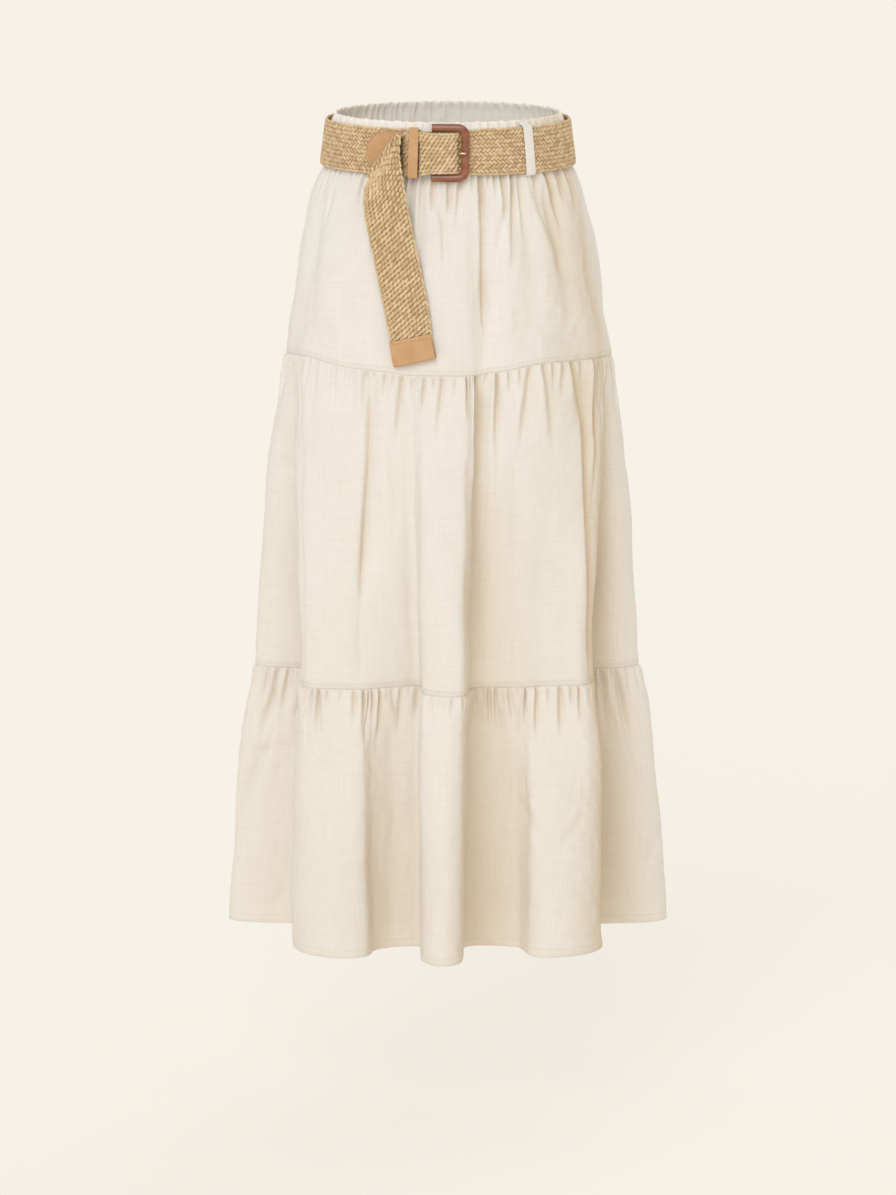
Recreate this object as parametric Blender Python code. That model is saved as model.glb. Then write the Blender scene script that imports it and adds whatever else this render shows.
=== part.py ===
# A three-tier gathered maxi skirt with its own braided belt, in its worn, hollow shape.
# Metres, +Z up. The front faces -Y, and +X is to the right seen from the front.
# The origin is the middle of the waist, at half the height of the belt.

import math
from collections import namedtuple

import bmesh
import bpy
from mathutils import Vector

# Driving dimensions
CLOTH = 0.0016  # thickness of the cloth
SEAM = 0.0003  # gap between two pieces that are sewn or laid together
SIDE_SEAM = 0.00015  # half of that gap, at each side of a side seam

STRAP = 0.0036  # thickness of the braided strap
STRAP_HALF = 0.0237  # half of its width
STRAP_HALF_IN_BUCKLE = 0.0205  # half of its width where the buckle squeezes it
LEATHER = 0.0012  # thickness of the leather trim

WAIST_HALF_WIDTH = 0.1260  # the surface that the belt lies on, at mid height
WAIST_HALF_DEPTH = 0.0955
WAIST_WIDTH_SLOPE = -0.1266  # how much that surface narrows for each metre up
WAIST_DEPTH_SLOPE = -0.0844

BUCKLE_TUBE = 0.0043  # half of the width of the buckle's frame
BUCKLE_THIN = 0.68  # its thickness as a share of its width
BUCKLE_ARM = 0.0254  # height of the middle of each arm
BUCKLE_LEFT = -0.0166  # where the arms end
BUCKLE_RIGHT = 0.0178  # middle of the upright bar
BUCKLE_CORNER = 0.0075  # corner radius of the middle line
BUCKLE_FORWARD = 0.0050  # middle of the frame in front of the surface under the belt
BUCKLE_CORNER_STEPS = 6
BUCKLE_TURN = -4.55  # degrees that the frame turns, bar end forward
BAR_RADIUS = 0.0015
BAR_AT = -0.0160
PRONG_RADIUS = 0.0011
PRONG_HOLE = 0.00145  # radius of the hole that it goes through in the strap
PRONG_EYE_STEPS = 8  # steps of the three quarters of a turn round the bar

# One row for each turn of the prong past its eye, in millimetres along the belt and forward.
ProngTurn = namedtuple("ProngTurn", "x forward")
PRONG_TURNS = [
    ProngTurn(-10.0, 2.5),
    ProngTurn(-4.0, 1.7),
    ProngTurn(1.5, 0.9),
    ProngTurn(4.5, 1.3),
    ProngTurn(8.0, 3.1),
    ProngTurn(11.5, 4.5),
    ProngTurn(15.5, 4.5),
    ProngTurn(19.3, 4.0),
]

LOOP_HALF = 0.0054  # half of the width of a belt loop
LOOP_CLOTH = 0.0012

SHARP_ANGLE = 40  # degrees from which an edge is shaded sharp

# One row for each turn of the skirt's large folds, counterclockwise from above, in millimetres.
# bearing is the place of that cloth round the waist in degrees, 0 at the front and 90 at the right.
# seam_x, seam_y and hem_x, hem_y are its places in plan at the lower seam and at the hem.
FoldTurn = namedtuple("FoldTurn", "name bearing seam_x seam_y hem_x hem_y")
FOLD_TURNS = [
    FoldTurn("left side", -90, -202, 8, -231, 12),
    FoldTurn("left wing", -81, -184, -6, -208, -5),
    FoldTurn("left hollow", -73, -141, -18, -146, -16),
    FoldTurn("left fold edge", -66, -152, -84, -156, -93),
    FoldTurn("left fold crest", -48, -122, -111, -124, -147),
    FoldTurn("left fold end", -32, -89, -112, -86, -138),
    FoldTurn("left recess", -25, -71, -105, -74, -102),
    FoldTurn("left recess end", -15, -43, -106, -40, -101),
    FoldTurn("centre fold rise", -10, -30, -120, -28, -148),
    FoldTurn("centre fold crest", 1, 6, -142, -4, -177),
    FoldTurn("centre fold fall", 10, 28, -124, 14, -154),
    FoldTurn("right recess", 14, 39, -106, 25, -102),
    FoldTurn("right recess end", 23, 66, -103, 70, -101),
    FoldTurn("right fold rise", 29, 83, -107, 83, -139),
    FoldTurn("right fold crest", 46, 118, -110, 118, -151),
    FoldTurn("right fold edge", 66, 154, -82, 158, -112),
    FoldTurn("right hollow", 73, 142, -18, 147, -18),
    FoldTurn("right wing", 81, 184, -6, 208, -5),
    FoldTurn("right side", 90, 202, 8, 231, 12),
    FoldTurn("right wing behind", 99, 189, 36, 213, 44),
    FoldTurn("back hollow 1", 108, 166, 54, 168, 52),
    FoldTurn("back fold 1 rise", 117, 160, 86, 177, 98),
    FoldTurn("back fold 1 fall", 129, 134, 106, 144, 129),
    FoldTurn("back hollow 2", 138, 110, 96, 114, 90),
    FoldTurn("back fold 2 rise", 146, 94, 114, 103, 135),
    FoldTurn("back fold 2 fall", 155, 70, 124, 75, 155),
    FoldTurn("back hollow 3", 164, 48, 108, 50, 104),
    FoldTurn("back fold 3 rise", 172, 26, 124, 34, 150),
    FoldTurn("back fold 3 fall", 184, -6, 131, -8, 164),
    FoldTurn("back hollow 4", 194, -36, 108, -38, 100),
    FoldTurn("back fold 4 rise", 201, -56, 120, -52, 140),
    FoldTurn("back fold 4 fall", 213, -88, 118, -92, 149),
    FoldTurn("back hollow 5", 222, -112, 94, -112, 86),
    FoldTurn("back fold 5 rise", 230, -130, 104, -130, 121),
    FoldTurn("back fold 5 fall", 242, -158, 88, -173, 106),
    FoldTurn("back hollow 6", 250, -165, 52, -168, 52),
    FoldTurn("left wing behind", 260, -188, 35, -212, 44),
]
SEAM_SCALE = 0.202  # half width of the plan that the seam columns give
HEM_SCALE = 0.231
SIDE_TURN = 18  # the row where the front panels end and the back panels start
CURVE_SAMPLES = 40  # measuring steps from one turn to the next
TANGENT_STEP = 0.02  # how far before and after a place its direction is read, in turns

# One row for each section of a wall. growth is 0 for the oval of the waist, 1 for the plan of
# the lower seam and 2 for that of the hem. gather is the share of the full gather height.
Ring = namedtuple("Ring", "z half_width half_depth growth gather")
WAISTBAND_RINGS = [
    Ring(0.0290, 0.1162, 0.0880, 0, 0.9),
    Ring(0.0262, 0.1168, 0.0884, 0, 1.0),
    Ring(0.0237, 0.1184, 0.0894, 0, 0.7),
    Ring(0.0050, 0.1222, 0.0922, 0, 0.6),
    Ring(-0.0150, 0.1248, 0.0939, 0, 0.4),
]
TOP_RINGS = [
    Ring(-0.0153, 0.1248, 0.0939, 0, 0.35),
    Ring(-0.0237, 0.1260, 0.0946, 0, 0.45),
    Ring(-0.0320, 0.1304, 0.0965, 0, 0.75),
    Ring(-0.0450, 0.1360, 0.0985, 0, 1.0),
    Ring(-0.0624, 0.1408, 0.1010, 0, 0.85),
    Ring(-0.0950, 0.1488, 0.1058, 0.01, 0.45),
    Ring(-0.1400, 0.1570, 0.1096, 0.02, 0.18),
    Ring(-0.1850, 0.1630, 0.1118, 0.04, 0.06),
    Ring(-0.2271, 0.1678, 0.1135, 0.06, 0),
]
MIDDLE_RINGS = [
    Ring(-0.2274, 0.1678, 0.1135, 0.06, 0.30),
    Ring(-0.2350, 0.1695, 0.1147, 0.08, 0.65),
    Ring(-0.2480, 0.1722, 0.1162, 0.11, 0.95),
    Ring(-0.2650, 0.1748, 0.1174, 0.16, 1.0),
    Ring(-0.2950, 0.1800, 0.1186, 0.26, 0.60),
    Ring(-0.3400, 0.1862, 0.1193, 0.44, 0.22),
    Ring(-0.4000, 0.1922, 0.1194, 0.68, 0.06),
    Ring(-0.4800, 0.1970, 0.1187, 0.90, 0),
    Ring(-0.5557, 0.2014, 0.1180, 1, 0),
]
BOTTOM_RINGS = [
    Ring(-0.5560, 0.2014, 0.1180, 1, 0.30),
    Ring(-0.5650, 0.2028, 0.1180, 1.04, 0.65),
    Ring(-0.5800, 0.2056, 0.1190, 1.12, 1.0),
    Ring(-0.6000, 0.2104, 0.1200, 1.22, 0.9),
    Ring(-0.6350, 0.2166, 0.1215, 1.38, 0.45),
    Ring(-0.6850, 0.2216, 0.1230, 1.56, 0.15),
    Ring(-0.7400, 0.2257, 0.1240, 1.74, 0.03),
    Ring(-0.7900, 0.2285, 0.1245, 1.88, 0),
    Ring(-0.8344, 0.2304, 0.1250, 2, 0),
]

# One row for each stretch of gathered cloth. gathers counts those of one panel, front or back.
Tier = namedtuple("Tier", "name rings gathers height phase")
TIERS = [
    Tier("waistband", WAISTBAND_RINGS, 20, 0.0016, 0.4),
    Tier("top_tier", TOP_RINGS, 20, 0.0028, 1.3),
    Tier("middle_tier", MIDDLE_RINGS, 28, 0.0036, 2.2),
    Tier("bottom_tier", BOTTOM_RINGS, 30, 0.0038, 3.1),
]
GATHER_LIMIT = 0.48  # most gather height, as a share of the distance between two columns
GATHER_SHIFT = 0.24  # how far a column is moved aside, as a share of that distance
GATHER_VARIES = 0.25  # how much of a gather's height differs from one to the next
SLOW_WANDER = 2.39  # steps of the two waves that make the gathers uneven
QUICK_WANDER = 5.17

SOFT_FOLD_DEEPEST = 0.22  # where a soft valley is deepest, as a share of its length
# One row for each long soft valley, with its bearing and half width in degrees.
SoftFold = namedtuple("SoftFold", "name bearing half_width top bottom depth")
SOFT_FOLDS = [
    SoftFold("top front, right of the middle", 12.0, 4.5, -0.030, -0.300, 0.0065),
    SoftFold("top front, below the buckle", 3.0, 3.5, -0.030, -0.120, 0.0035),
    SoftFold("top front, left of the buckle", -8.0, 4.0, -0.030, -0.150, 0.0030),
    SoftFold("top front, right", 34.0, 5.0, -0.030, -0.170, 0.0040),
    SoftFold("top front, by the loop", 51.0, 5.0, -0.030, -0.210, 0.0050),
    SoftFold("top front, left", -38.0, 6.0, -0.030, -0.210, 0.0035),
    SoftFold("top left side", -68.0, 6.0, -0.040, -0.220, 0.0040),
    SoftFold("top back, right", 132.0, 6.0, -0.030, -0.220, 0.0045),
    SoftFold("top back, middle", 176.0, 5.0, -0.030, -0.250, 0.0050),
    SoftFold("top back, left", 222.0, 6.0, -0.030, -0.200, 0.0045),
]

# One row for each place along the strap's course over the waist, from its inner end round
# the left side, the back and the right side to the keeper. out is how far its middle lies
# in front of the surface under the belt, and half is half of its width there.
StrapPlace = namedtuple("StrapPlace", "x out half")
STRAP_START = [
    StrapPlace(-0.0262, 0.0036, 0.0225),
    StrapPlace(-0.0300, 0.0036, 0.0230),
    StrapPlace(-0.0410, 0.0036, STRAP_HALF),
    StrapPlace(-0.0540, 0.0030, STRAP_HALF),
    StrapPlace(-0.0680, 0.0023, STRAP_HALF),
]
STRAP_END = [
    StrapPlace(0.0420, 0.0021, STRAP_HALF),
    StrapPlace(0.0280, 0.0021, 0.0232),
    StrapPlace(0.0200, 0.0021, 0.0220),
    StrapPlace(0.0125, 0.0022, 0.0208),
    StrapPlace(0.0098, 0.0038, STRAP_HALF_IN_BUCKLE),
    StrapPlace(0.0072, 0.0066, STRAP_HALF_IN_BUCKLE),
    StrapPlace(0.0040, 0.0088, STRAP_HALF_IN_BUCKLE),
    StrapPlace(-0.0020, 0.0099, STRAP_HALF_IN_BUCKLE),
    StrapPlace(-0.0100, 0.0106, STRAP_HALF_IN_BUCKLE),
    StrapPlace(-0.0180, 0.0109, 0.0208),
    StrapPlace(-0.0250, 0.0101, 0.0220),
    StrapPlace(-0.0300, 0.0091, 0.0225),
    StrapPlace(-0.0410, 0.0090, 0.0228),
]
STRAP_ROUND_FROM = -42.0  # bearings between which the strap lies flat on the waist
STRAP_ROUND_TO = -333.0
STRAP_ROUND_STEPS = 36
STRAP_ROUND_OUT = 0.0021
STRAP_ROUND_X = -0.0830  # x from which it lies flat, at its inner end

# The strap's diagonal fold, and below it the tail, one row for each section.
FOLD_LOW = (-0.0775, -0.0280)  # x and z where the folding line leaves the lower edge
FOLD_HIGH = (-0.0452, 0.0175)
FOLD_OUT = 0.0096
FOLD_RADIUS = 0.0044
FOLD_STEPS = 7
FAN_STEPS = 4
TailPlace = namedtuple("TailPlace", "left_x left_y left_z right_x right_y right_z")
TAIL = [
    TailPlace(-0.0846, -0.0955, -0.0360, -0.0490, -0.1055, 0.0030),
    TailPlace(-0.0862, -0.0952, -0.0460, -0.0474, -0.1062, -0.0130),
    TailPlace(-0.0862, -0.0952, -0.0580, -0.0440, -0.1070, -0.0340),
    TailPlace(-0.0842, -0.0960, -0.0705, -0.0402, -0.1080, -0.0550),
    TailPlace(-0.0800, -0.0980, -0.0900, -0.0355, -0.1095, -0.0780),
    TailPlace(-0.0747, -0.1010, -0.1160, -0.0300, -0.1115, -0.1045),
    TailPlace(-0.0695, -0.1040, -0.1410, -0.0247, -0.1135, -0.1300),
    TailPlace(-0.0638, -0.1072, -0.1680, -0.0195, -0.1155, -0.1580),
    TailPlace(-0.0600, -0.1088, -0.1860, -0.0171, -0.1168, -0.1765),
    TailPlace(-0.0543, -0.1114, -0.2169, -0.0137, -0.1189, -0.2069),
]
TIP_LENGTH = 0.0258
TIP_OVERHANG = 0.0010  # leather past the edges of the strap
TIP_BEND = 0.0006  # how far past the strap's end the leather starts to turn under it
TIP_UNDER = 0.0013  # how far past that end its middle lies there

TAB_HALF = 0.0210
TAB_END = -0.0832  # x of the tab's rounded end
TAB_ROUND = 0.0190  # length of the rounding
TAB_STEPS = 9
TAB_BLUNT = 0.18  # half height of its very end, as a share of TAB_HALF
TAB_FRONT_PLACES = (-0.0620, -0.0540, -0.0410, -0.0300, -0.0230)  # x of its front leaf's sections
TAB_BACK_PLACES = (-0.0195, -0.0235, -0.0280)
TAB_ROLL_STEPS = 8
TAB_ROLL_FROM = 10  # degrees of its turn round the bar
TAB_ROLL_TO = 170
TAB_ROLL_OUT = 0.0009  # how much further out that turn's middle lies at the bar's curved place
TAB_SLOT_LENGTH = 0.0110  # of the slot for the prong
TAB_SLOT_DEPTH = 0.0160
TAB_SLOT_HALF = 0.0019
TAB_SLOT_SHIFT = 0.0005
KEEPER_AT = -0.0355
KEEPER_HALF = 0.0050
KEEPER_IN = 0.0003  # how far its inner leaf starts in front of the surface under the belt
KEEPER_OUT = 0.0123
KEEPER_CLEAR = 0.0003
KEEPER_CORNER = 0.0020

Finish = namedtuple("Finish", "colour roughness metallic")
FINISHES = {
    "linen": Finish((0.86, 0.80, 0.70), 0.9, 0.0),
    "braid": Finish((0.62, 0.45, 0.26), 0.85, 0.0),
    "leather": Finish((0.58, 0.36, 0.18), 0.55, 0.0),
    "brown": Finish((0.20, 0.07, 0.03), 0.3, 0.0),
    "brass": Finish((0.78, 0.60, 0.42), 0.25, 1.0),
}


def clear_scene():
    for obj in list(bpy.data.objects):
        bpy.data.objects.remove(obj, do_unlink=True)


def new_collection(name):
    group = bpy.data.collections.new(name)
    bpy.context.scene.collection.children.link(group)
    return group


def finish_of(node, kind):
    material = bpy.data.materials.new(node + "_" + kind)
    material.use_nodes = True
    shader = material.node_tree.nodes["Principled BSDF"]
    shader.inputs["Base Color"].default_value = (*FINISHES[kind].colour, 1)
    shader.inputs["Roughness"].default_value = FINISHES[kind].roughness
    shader.inputs["Metallic"].default_value = FINISHES[kind].metallic
    return material


def add_object(name, data, kind, group):
    obj = bpy.data.objects.new(name, data)
    data.materials.append(finish_of(name, kind))
    group.objects.link(obj)
    return obj


def mesh_from(name, shape):
    """Turns a bmesh into a mesh whose faces point out."""
    bmesh.ops.recalc_face_normals(shape, faces=shape.faces)
    mesh = bpy.data.meshes.new(name)
    shape.to_mesh(mesh)
    shape.free()
    mesh.shade_smooth()
    mesh.set_sharp_from_angle(angle=math.radians(SHARP_ANGLE))
    return mesh


def loft(name, sections, closed=False):
    """A solid through sections of four corners each. A closed one runs back into its start."""
    shape = bmesh.new()
    rows = [[shape.verts.new(corner) for corner in section] for section in sections]
    pairs = list(zip(rows, rows[1:]))
    if closed:
        pairs.append((rows[-1], rows[0]))
    for first, second in pairs:
        for i in range(len(first)):
            j = (i + 1) % len(first)
            shape.faces.new((first[i], first[j], second[j], second[i]))
    if not closed:
        shape.faces.new(rows[0])
        shape.faces.new(rows[-1])
    return mesh_from(name, shape)


# The plan of the cloth: an oval at the waist, which grows into the large folds below.


def oval_turn(turn, half_width, half_depth):
    angle = math.radians(turn.bearing)
    return Vector((half_width * math.sin(angle), -half_depth * math.cos(angle)))


def plan_turns(ring):
    """The places in plan of all the fold turns, at one ring."""
    scale_to_seam = ring.half_width / SEAM_SCALE / 1000
    scale_to_hem = ring.half_width / HEM_SCALE / 1000
    found = []
    for turn in FOLD_TURNS:
        oval = oval_turn(turn, ring.half_width, ring.half_depth)
        at_seam = Vector((turn.seam_x, turn.seam_y)) * scale_to_seam
        at_hem = Vector((turn.hem_x, turn.hem_y)) * scale_to_hem
        if ring.growth <= 1:
            found.append(oval.lerp(at_seam, ring.growth))
        else:
            found.append(at_seam.lerp(at_hem, ring.growth - 1))
    return found


def curve_point(turns, place):
    """A point of the smooth closed curve through the turns. place counts turns."""
    count = len(turns)
    first = math.floor(place)
    before, start, end, after = (turns[(first + i) % count] for i in (-1, 0, 1, 2))
    knots = [0.0]
    for a, b in ((before, start), (start, end), (end, after)):
        knots.append(knots[-1] + math.sqrt(max((b - a).length, 1e-6)))
    t = knots[1] + (place - first) * (knots[2] - knots[1])

    def between(a, b, low, high):
        return a.lerp(b, (t - low) / (high - low))

    one = between(before, start, knots[0], knots[1])
    two = between(start, end, knots[1], knots[2])
    three = between(end, after, knots[2], knots[3])
    left = between(one, two, knots[0], knots[2])
    right = between(two, three, knots[1], knots[3])
    return between(left, right, knots[1], knots[2])


def bearing_of(place):
    first = math.floor(place)
    start = FOLD_TURNS[first % len(FOLD_TURNS)].bearing
    end = FOLD_TURNS[(first + 1) % len(FOLD_TURNS)].bearing
    if end < start:
        end += 360
    return start + (place - first) * (end - start)


def even_places(ring, start, end, count):
    """count + 1 places on the curve, the same length of cloth apart at this ring."""
    turns = plan_turns(ring)
    fine = CURVE_SAMPLES * (end - start)
    places = [start + (end - start) * i / fine for i in range(fine + 1)]
    spots = [curve_point(turns, place) for place in places]
    run = [0.0]
    for a, b in zip(spots, spots[1:]):
        run.append(run[-1] + (b - a).length)
    found, i = [], 0
    for k in range(count + 1):
        wanted = run[-1] * k / count
        while i < fine - 1 and run[i + 1] < wanted:
            i += 1
        share = (wanted - run[i]) / (run[i + 1] - run[i])
        found.append(places[i] + share * (places[i + 1] - places[i]))
    return found


def soft_fold_depth(bearing, z):
    depth = 0.0
    for fold in SOFT_FOLDS:
        if not fold.bottom < z < fold.top:
            continue
        along = (fold.top - z) / (fold.top - fold.bottom)
        if along < SOFT_FOLD_DEEPEST:
            swell = math.sin(math.pi / 2 * along / SOFT_FOLD_DEEPEST)
        else:
            swell = math.cos(math.pi / 2 * (along - SOFT_FOLD_DEEPEST) / (1 - SOFT_FOLD_DEEPEST))
        away = (bearing - fold.bearing) / fold.half_width
        depth += fold.depth * swell * math.exp(-(away**2))
    return depth


def uneven(number, phase):
    """A value between -1 and 1 that wanders from one number to the next."""
    slow = math.sin(SLOW_WANDER * number + phase)
    quick = math.sin(QUICK_WANDER * number + 2 * phase)
    return 0.6 * slow + 0.4 * quick


def wall_ring(tier, ring, places, spacing):
    """The outer and inner points of one ring of a panel, from its first side seam to its last."""
    turns = plan_turns(ring)
    last = len(places) - 1
    outer, inner = [], []
    for k, place in enumerate(places):
        here = curve_point(turns, place)
        ahead = curve_point(turns, place + TANGENT_STEP)
        tangent = (ahead - curve_point(turns, place - TANGENT_STEP)).normalized()
        normal = Vector((tangent.y, -tangent.x))
        if k in (0, last):
            here = here + tangent * (SIDE_SEAM if k == 0 else -SIDE_SEAM)
            rise = 0.0
        else:
            full = tier.height * (1 - GATHER_VARIES + GATHER_VARIES * uneven(k // 2, tier.phase))
            height = min(full * ring.gather, GATHER_LIMIT * spacing[k])
            rise = height if k % 2 else -height
        rise -= soft_fold_depth(bearing_of(place), ring.z)
        middle = here + normal * rise
        half = normal * (CLOTH / 2)
        outer.append((middle.x + half.x, middle.y + half.y, ring.z))
        inner.append((middle.x - half.x, middle.y - half.y, ring.z))
    return outer, inner


def panel_places(tier, start, end):
    """The columns of a panel, two for each gather, spaced unevenly as hand-pulled gathers are."""
    columns = 2 * tier.gathers
    even = even_places(tier.rings[-1], start, end, columns)
    shifted = list(even)
    for k in range(1, columns):
        room = min(even[k] - even[k - 1], even[k + 1] - even[k])
        shifted[k] = even[k] + GATHER_SHIFT * room * uneven(k, tier.phase + 0.7)
    return shifted


def cloth_panel(tier, side, start, end, group):
    places = panel_places(tier, start, end)
    shape = bmesh.new()
    outer, inner = [], []
    for ring in tier.rings:
        turns = plan_turns(ring)
        spots = [curve_point(turns, place) for place in places]
        gaps = [(b - a).length for a, b in zip(spots, spots[1:])]
        spacing = [min(a, b) for a, b in zip([gaps[0]] + gaps, gaps + [gaps[-1]])]
        outer_points, inner_points = wall_ring(tier, ring, places, spacing)
        outer.append([shape.verts.new(point) for point in outer_points])
        inner.append([shape.verts.new(point) for point in inner_points])
    last_ring, last = len(tier.rings) - 1, len(places) - 1
    for j in range(last_ring):
        for k in range(last):
            shape.faces.new((outer[j][k], outer[j + 1][k], outer[j + 1][k + 1], outer[j][k + 1]))
            shape.faces.new((inner[j][k], inner[j][k + 1], inner[j + 1][k + 1], inner[j + 1][k]))
        for k in (0, last):
            shape.faces.new((outer[j][k], inner[j][k], inner[j + 1][k], outer[j + 1][k]))
    for j in (0, last_ring):
        for k in range(last):
            shape.faces.new((outer[j][k], outer[j][k + 1], inner[j][k + 1], inner[j][k]))
    name = tier.name + "_" + side
    return add_object(name, mesh_from(name, shape), "linen", group)


def make_cloth(group):
    for tier in TIERS:
        cloth_panel(tier, "front", 0, SIDE_TURN, group)
        cloth_panel(tier, "back", SIDE_TURN, len(FOLD_TURNS), group)


# The belt. A place on it is a bearing, a height and how far out it lies.


def belt_point(bearing, out, z):
    half_width = WAIST_HALF_WIDTH + WAIST_WIDTH_SLOPE * z + out
    half_depth = WAIST_HALF_DEPTH + WAIST_DEPTH_SLOPE * z + out
    angle = math.radians(bearing)
    return Vector((half_width * math.sin(angle), -half_depth * math.cos(angle), z))


def bearing_at(x, out, z=0.0):
    return math.degrees(math.asin(x / (WAIST_HALF_WIDTH + WAIST_WIDTH_SLOPE * z + out)))


def band_section(bearing, out, half, thickness):
    """An upright section of a band on the waist: low inner, low outer, high outer, high inner."""
    near, far = out - thickness / 2, out + thickness / 2
    corners = ((near, -half), (far, -half), (far, half), (near, half))
    return [belt_point(bearing, corner_out, z) for corner_out, z in corners]


def sheet_section(low, high, face, thickness):
    """The same four corners for a section that leans, from its two edges and its facing."""
    step = face * (thickness / 2)
    return [low - step, low + step, high + step, high - step]


def strap_on_waist():
    sections = []
    for place in STRAP_START:
        bearing = bearing_at(place.x, place.out)
        sections.append(band_section(bearing, place.out, place.half, STRAP))
    for i in range(STRAP_ROUND_STEPS + 1):
        bearing = STRAP_ROUND_FROM + (STRAP_ROUND_TO - STRAP_ROUND_FROM) * i / STRAP_ROUND_STEPS
        sections.append(band_section(bearing, STRAP_ROUND_OUT, STRAP_HALF, STRAP))
    for place in STRAP_END:
        bearing = bearing_at(place.x, place.out)
        sections.append(band_section(bearing, place.out, place.half, STRAP))
    return sections


def fold_frame():
    """The ends of the folding line on the back layer, its facing and the way out of the fold."""
    low = belt_point(bearing_at(FOLD_LOW[0], FOLD_OUT, FOLD_LOW[1]), FOLD_OUT, FOLD_LOW[1])
    high = belt_point(bearing_at(FOLD_HIGH[0], FOLD_OUT, FOLD_HIGH[1]), FOLD_OUT, FOLD_HIGH[1])
    line = (high - low).normalized()
    away = Vector((low.x + high.x, low.y + high.y, 0)).normalized()
    face = (away - line * away.dot(line)).normalized()
    past = line.cross(face).normalized()
    if past.x > 0:
        past.negate()
    return low, high, face, past


def strap_fan():
    """The flat stretch between the keeper and the folding line, whose sections lean over."""
    start = STRAP_END[-1]
    sections = []
    for i in range(1, FAN_STEPS):
        share = i / FAN_STEPS
        out = start.out + share * (FOLD_OUT - start.out)
        corners = []
        for (x, z), first_z in ((FOLD_LOW, -start.half), (FOLD_HIGH, start.half)):
            at_x = start.x + share * (x - start.x)
            at_z = first_z + share * (z - first_z)
            for far in (out - STRAP / 2, out + STRAP / 2):
                corners.append(belt_point(bearing_at(at_x, far, at_z), far, at_z))
        sections.append([corners[0], corners[1], corners[3], corners[2]])
    return sections


def strap_fold_and_tail():
    low, high, face, past = fold_frame()
    sections = strap_fan()
    for i in range(FOLD_STEPS + 1):
        turn = math.pi * i / FOLD_STEPS
        shift = past * (FOLD_RADIUS * math.sin(turn)) + face * (FOLD_RADIUS * (1 - math.cos(turn)))
        facing = face * math.cos(turn) - past * math.sin(turn)
        sections.append(sheet_section(low + shift, high + shift, facing, STRAP))
    for place in TAIL:
        left = Vector((place.left_x, place.left_y, place.left_z))
        right = Vector((place.right_x, place.right_y, place.right_z))
        sections.append(sheet_section(left, right, tail_facing(left, right), STRAP))
    return sections


def tail_facing(left, right):
    """The way of the strap's outer face, which the fold has turned towards the skirt."""
    return Vector((0, 0, 1)).cross(right - left).normalized()


def tube(name, points, radius, sides_step, group, kind):
    curve = bpy.data.curves.new(name, "CURVE")
    curve.dimensions = "3D"
    curve.bevel_depth = radius
    curve.bevel_resolution = sides_step
    curve.use_fill_caps = True
    spline = curve.splines.new("POLY")
    spline.points.add(len(points) - 1)
    for spot, point in zip(spline.points, points):
        spot.co = (*point, 1)
    return add_object(name, curve, kind, group)


def cut_with(obj, cutter):
    cutter.hide_render = True
    cutter.display_type = "WIRE"
    modifier = obj.modifiers.new("cut_" + cutter.name, "BOOLEAN")
    modifier.operation = "DIFFERENCE"
    modifier.object = cutter


def as_mesh_cutter(obj, group):
    """A closed mesh copy of a curve, which replaces it, because a curve can't cut."""
    bpy.context.view_layer.update()
    graph = bpy.context.evaluated_depsgraph_get()
    mesh = bpy.data.meshes.new_from_object(obj.evaluated_get(graph))
    shape = bmesh.new()
    shape.from_mesh(mesh)
    bmesh.ops.remove_doubles(shape, verts=shape.verts, dist=0.00001)
    bmesh.ops.recalc_face_normals(shape, faces=shape.faces)
    shape.to_mesh(mesh)
    shape.free()
    cutter = bpy.data.objects.new(obj.name + "_cutter", mesh)
    cutter.matrix_world = obj.matrix_world.copy()
    group.objects.link(cutter)
    bpy.data.objects.remove(obj, do_unlink=True)
    return cutter


def buckle_empty(group):
    """The buckle's own frame: x along the belt, -y forward, z up the leaning surface."""
    empty = bpy.data.objects.new("buckle_place", None)
    empty.location = (0, -WAIST_HALF_DEPTH - BUCKLE_FORWARD, 0)
    lean = math.degrees(math.atan(WAIST_DEPTH_SLOPE))
    empty.rotation_euler = (math.radians(lean), 0, math.radians(BUCKLE_TURN))
    group.objects.link(empty)
    return empty


def buckle_outline():
    """The middle line of the C-shaped frame, from its upper end round the bar to its lower end."""
    points = [(BUCKLE_LEFT, 0, BUCKLE_ARM)]
    for sign, first in ((1, 90), (-1, 0)):
        for i in range(BUCKLE_CORNER_STEPS + 1):
            angle = math.radians(first - 90 * i / BUCKLE_CORNER_STEPS)
            x = BUCKLE_RIGHT - BUCKLE_CORNER + BUCKLE_CORNER * math.cos(angle)
            z = sign * (BUCKLE_ARM - BUCKLE_CORNER) + BUCKLE_CORNER * math.sin(angle)
            points.append((x, 0, z))
    points.append((BUCKLE_LEFT, 0, -BUCKLE_ARM))
    return points


def prong_line():
    """From the eye curled round the bar, under the strap, through it and onto the frame."""
    eye = BAR_RADIUS + SEAM + PRONG_RADIUS
    points = []
    for i in range(PRONG_EYE_STEPS + 1):
        angle = math.radians(-270 + 270 * i / PRONG_EYE_STEPS)
        points.append((BAR_AT + eye * math.sin(angle), -eye * math.cos(angle), 0))
    points.extend((turn.x / 1000, -turn.forward / 1000, 0) for turn in PRONG_TURNS)
    return points


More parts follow.
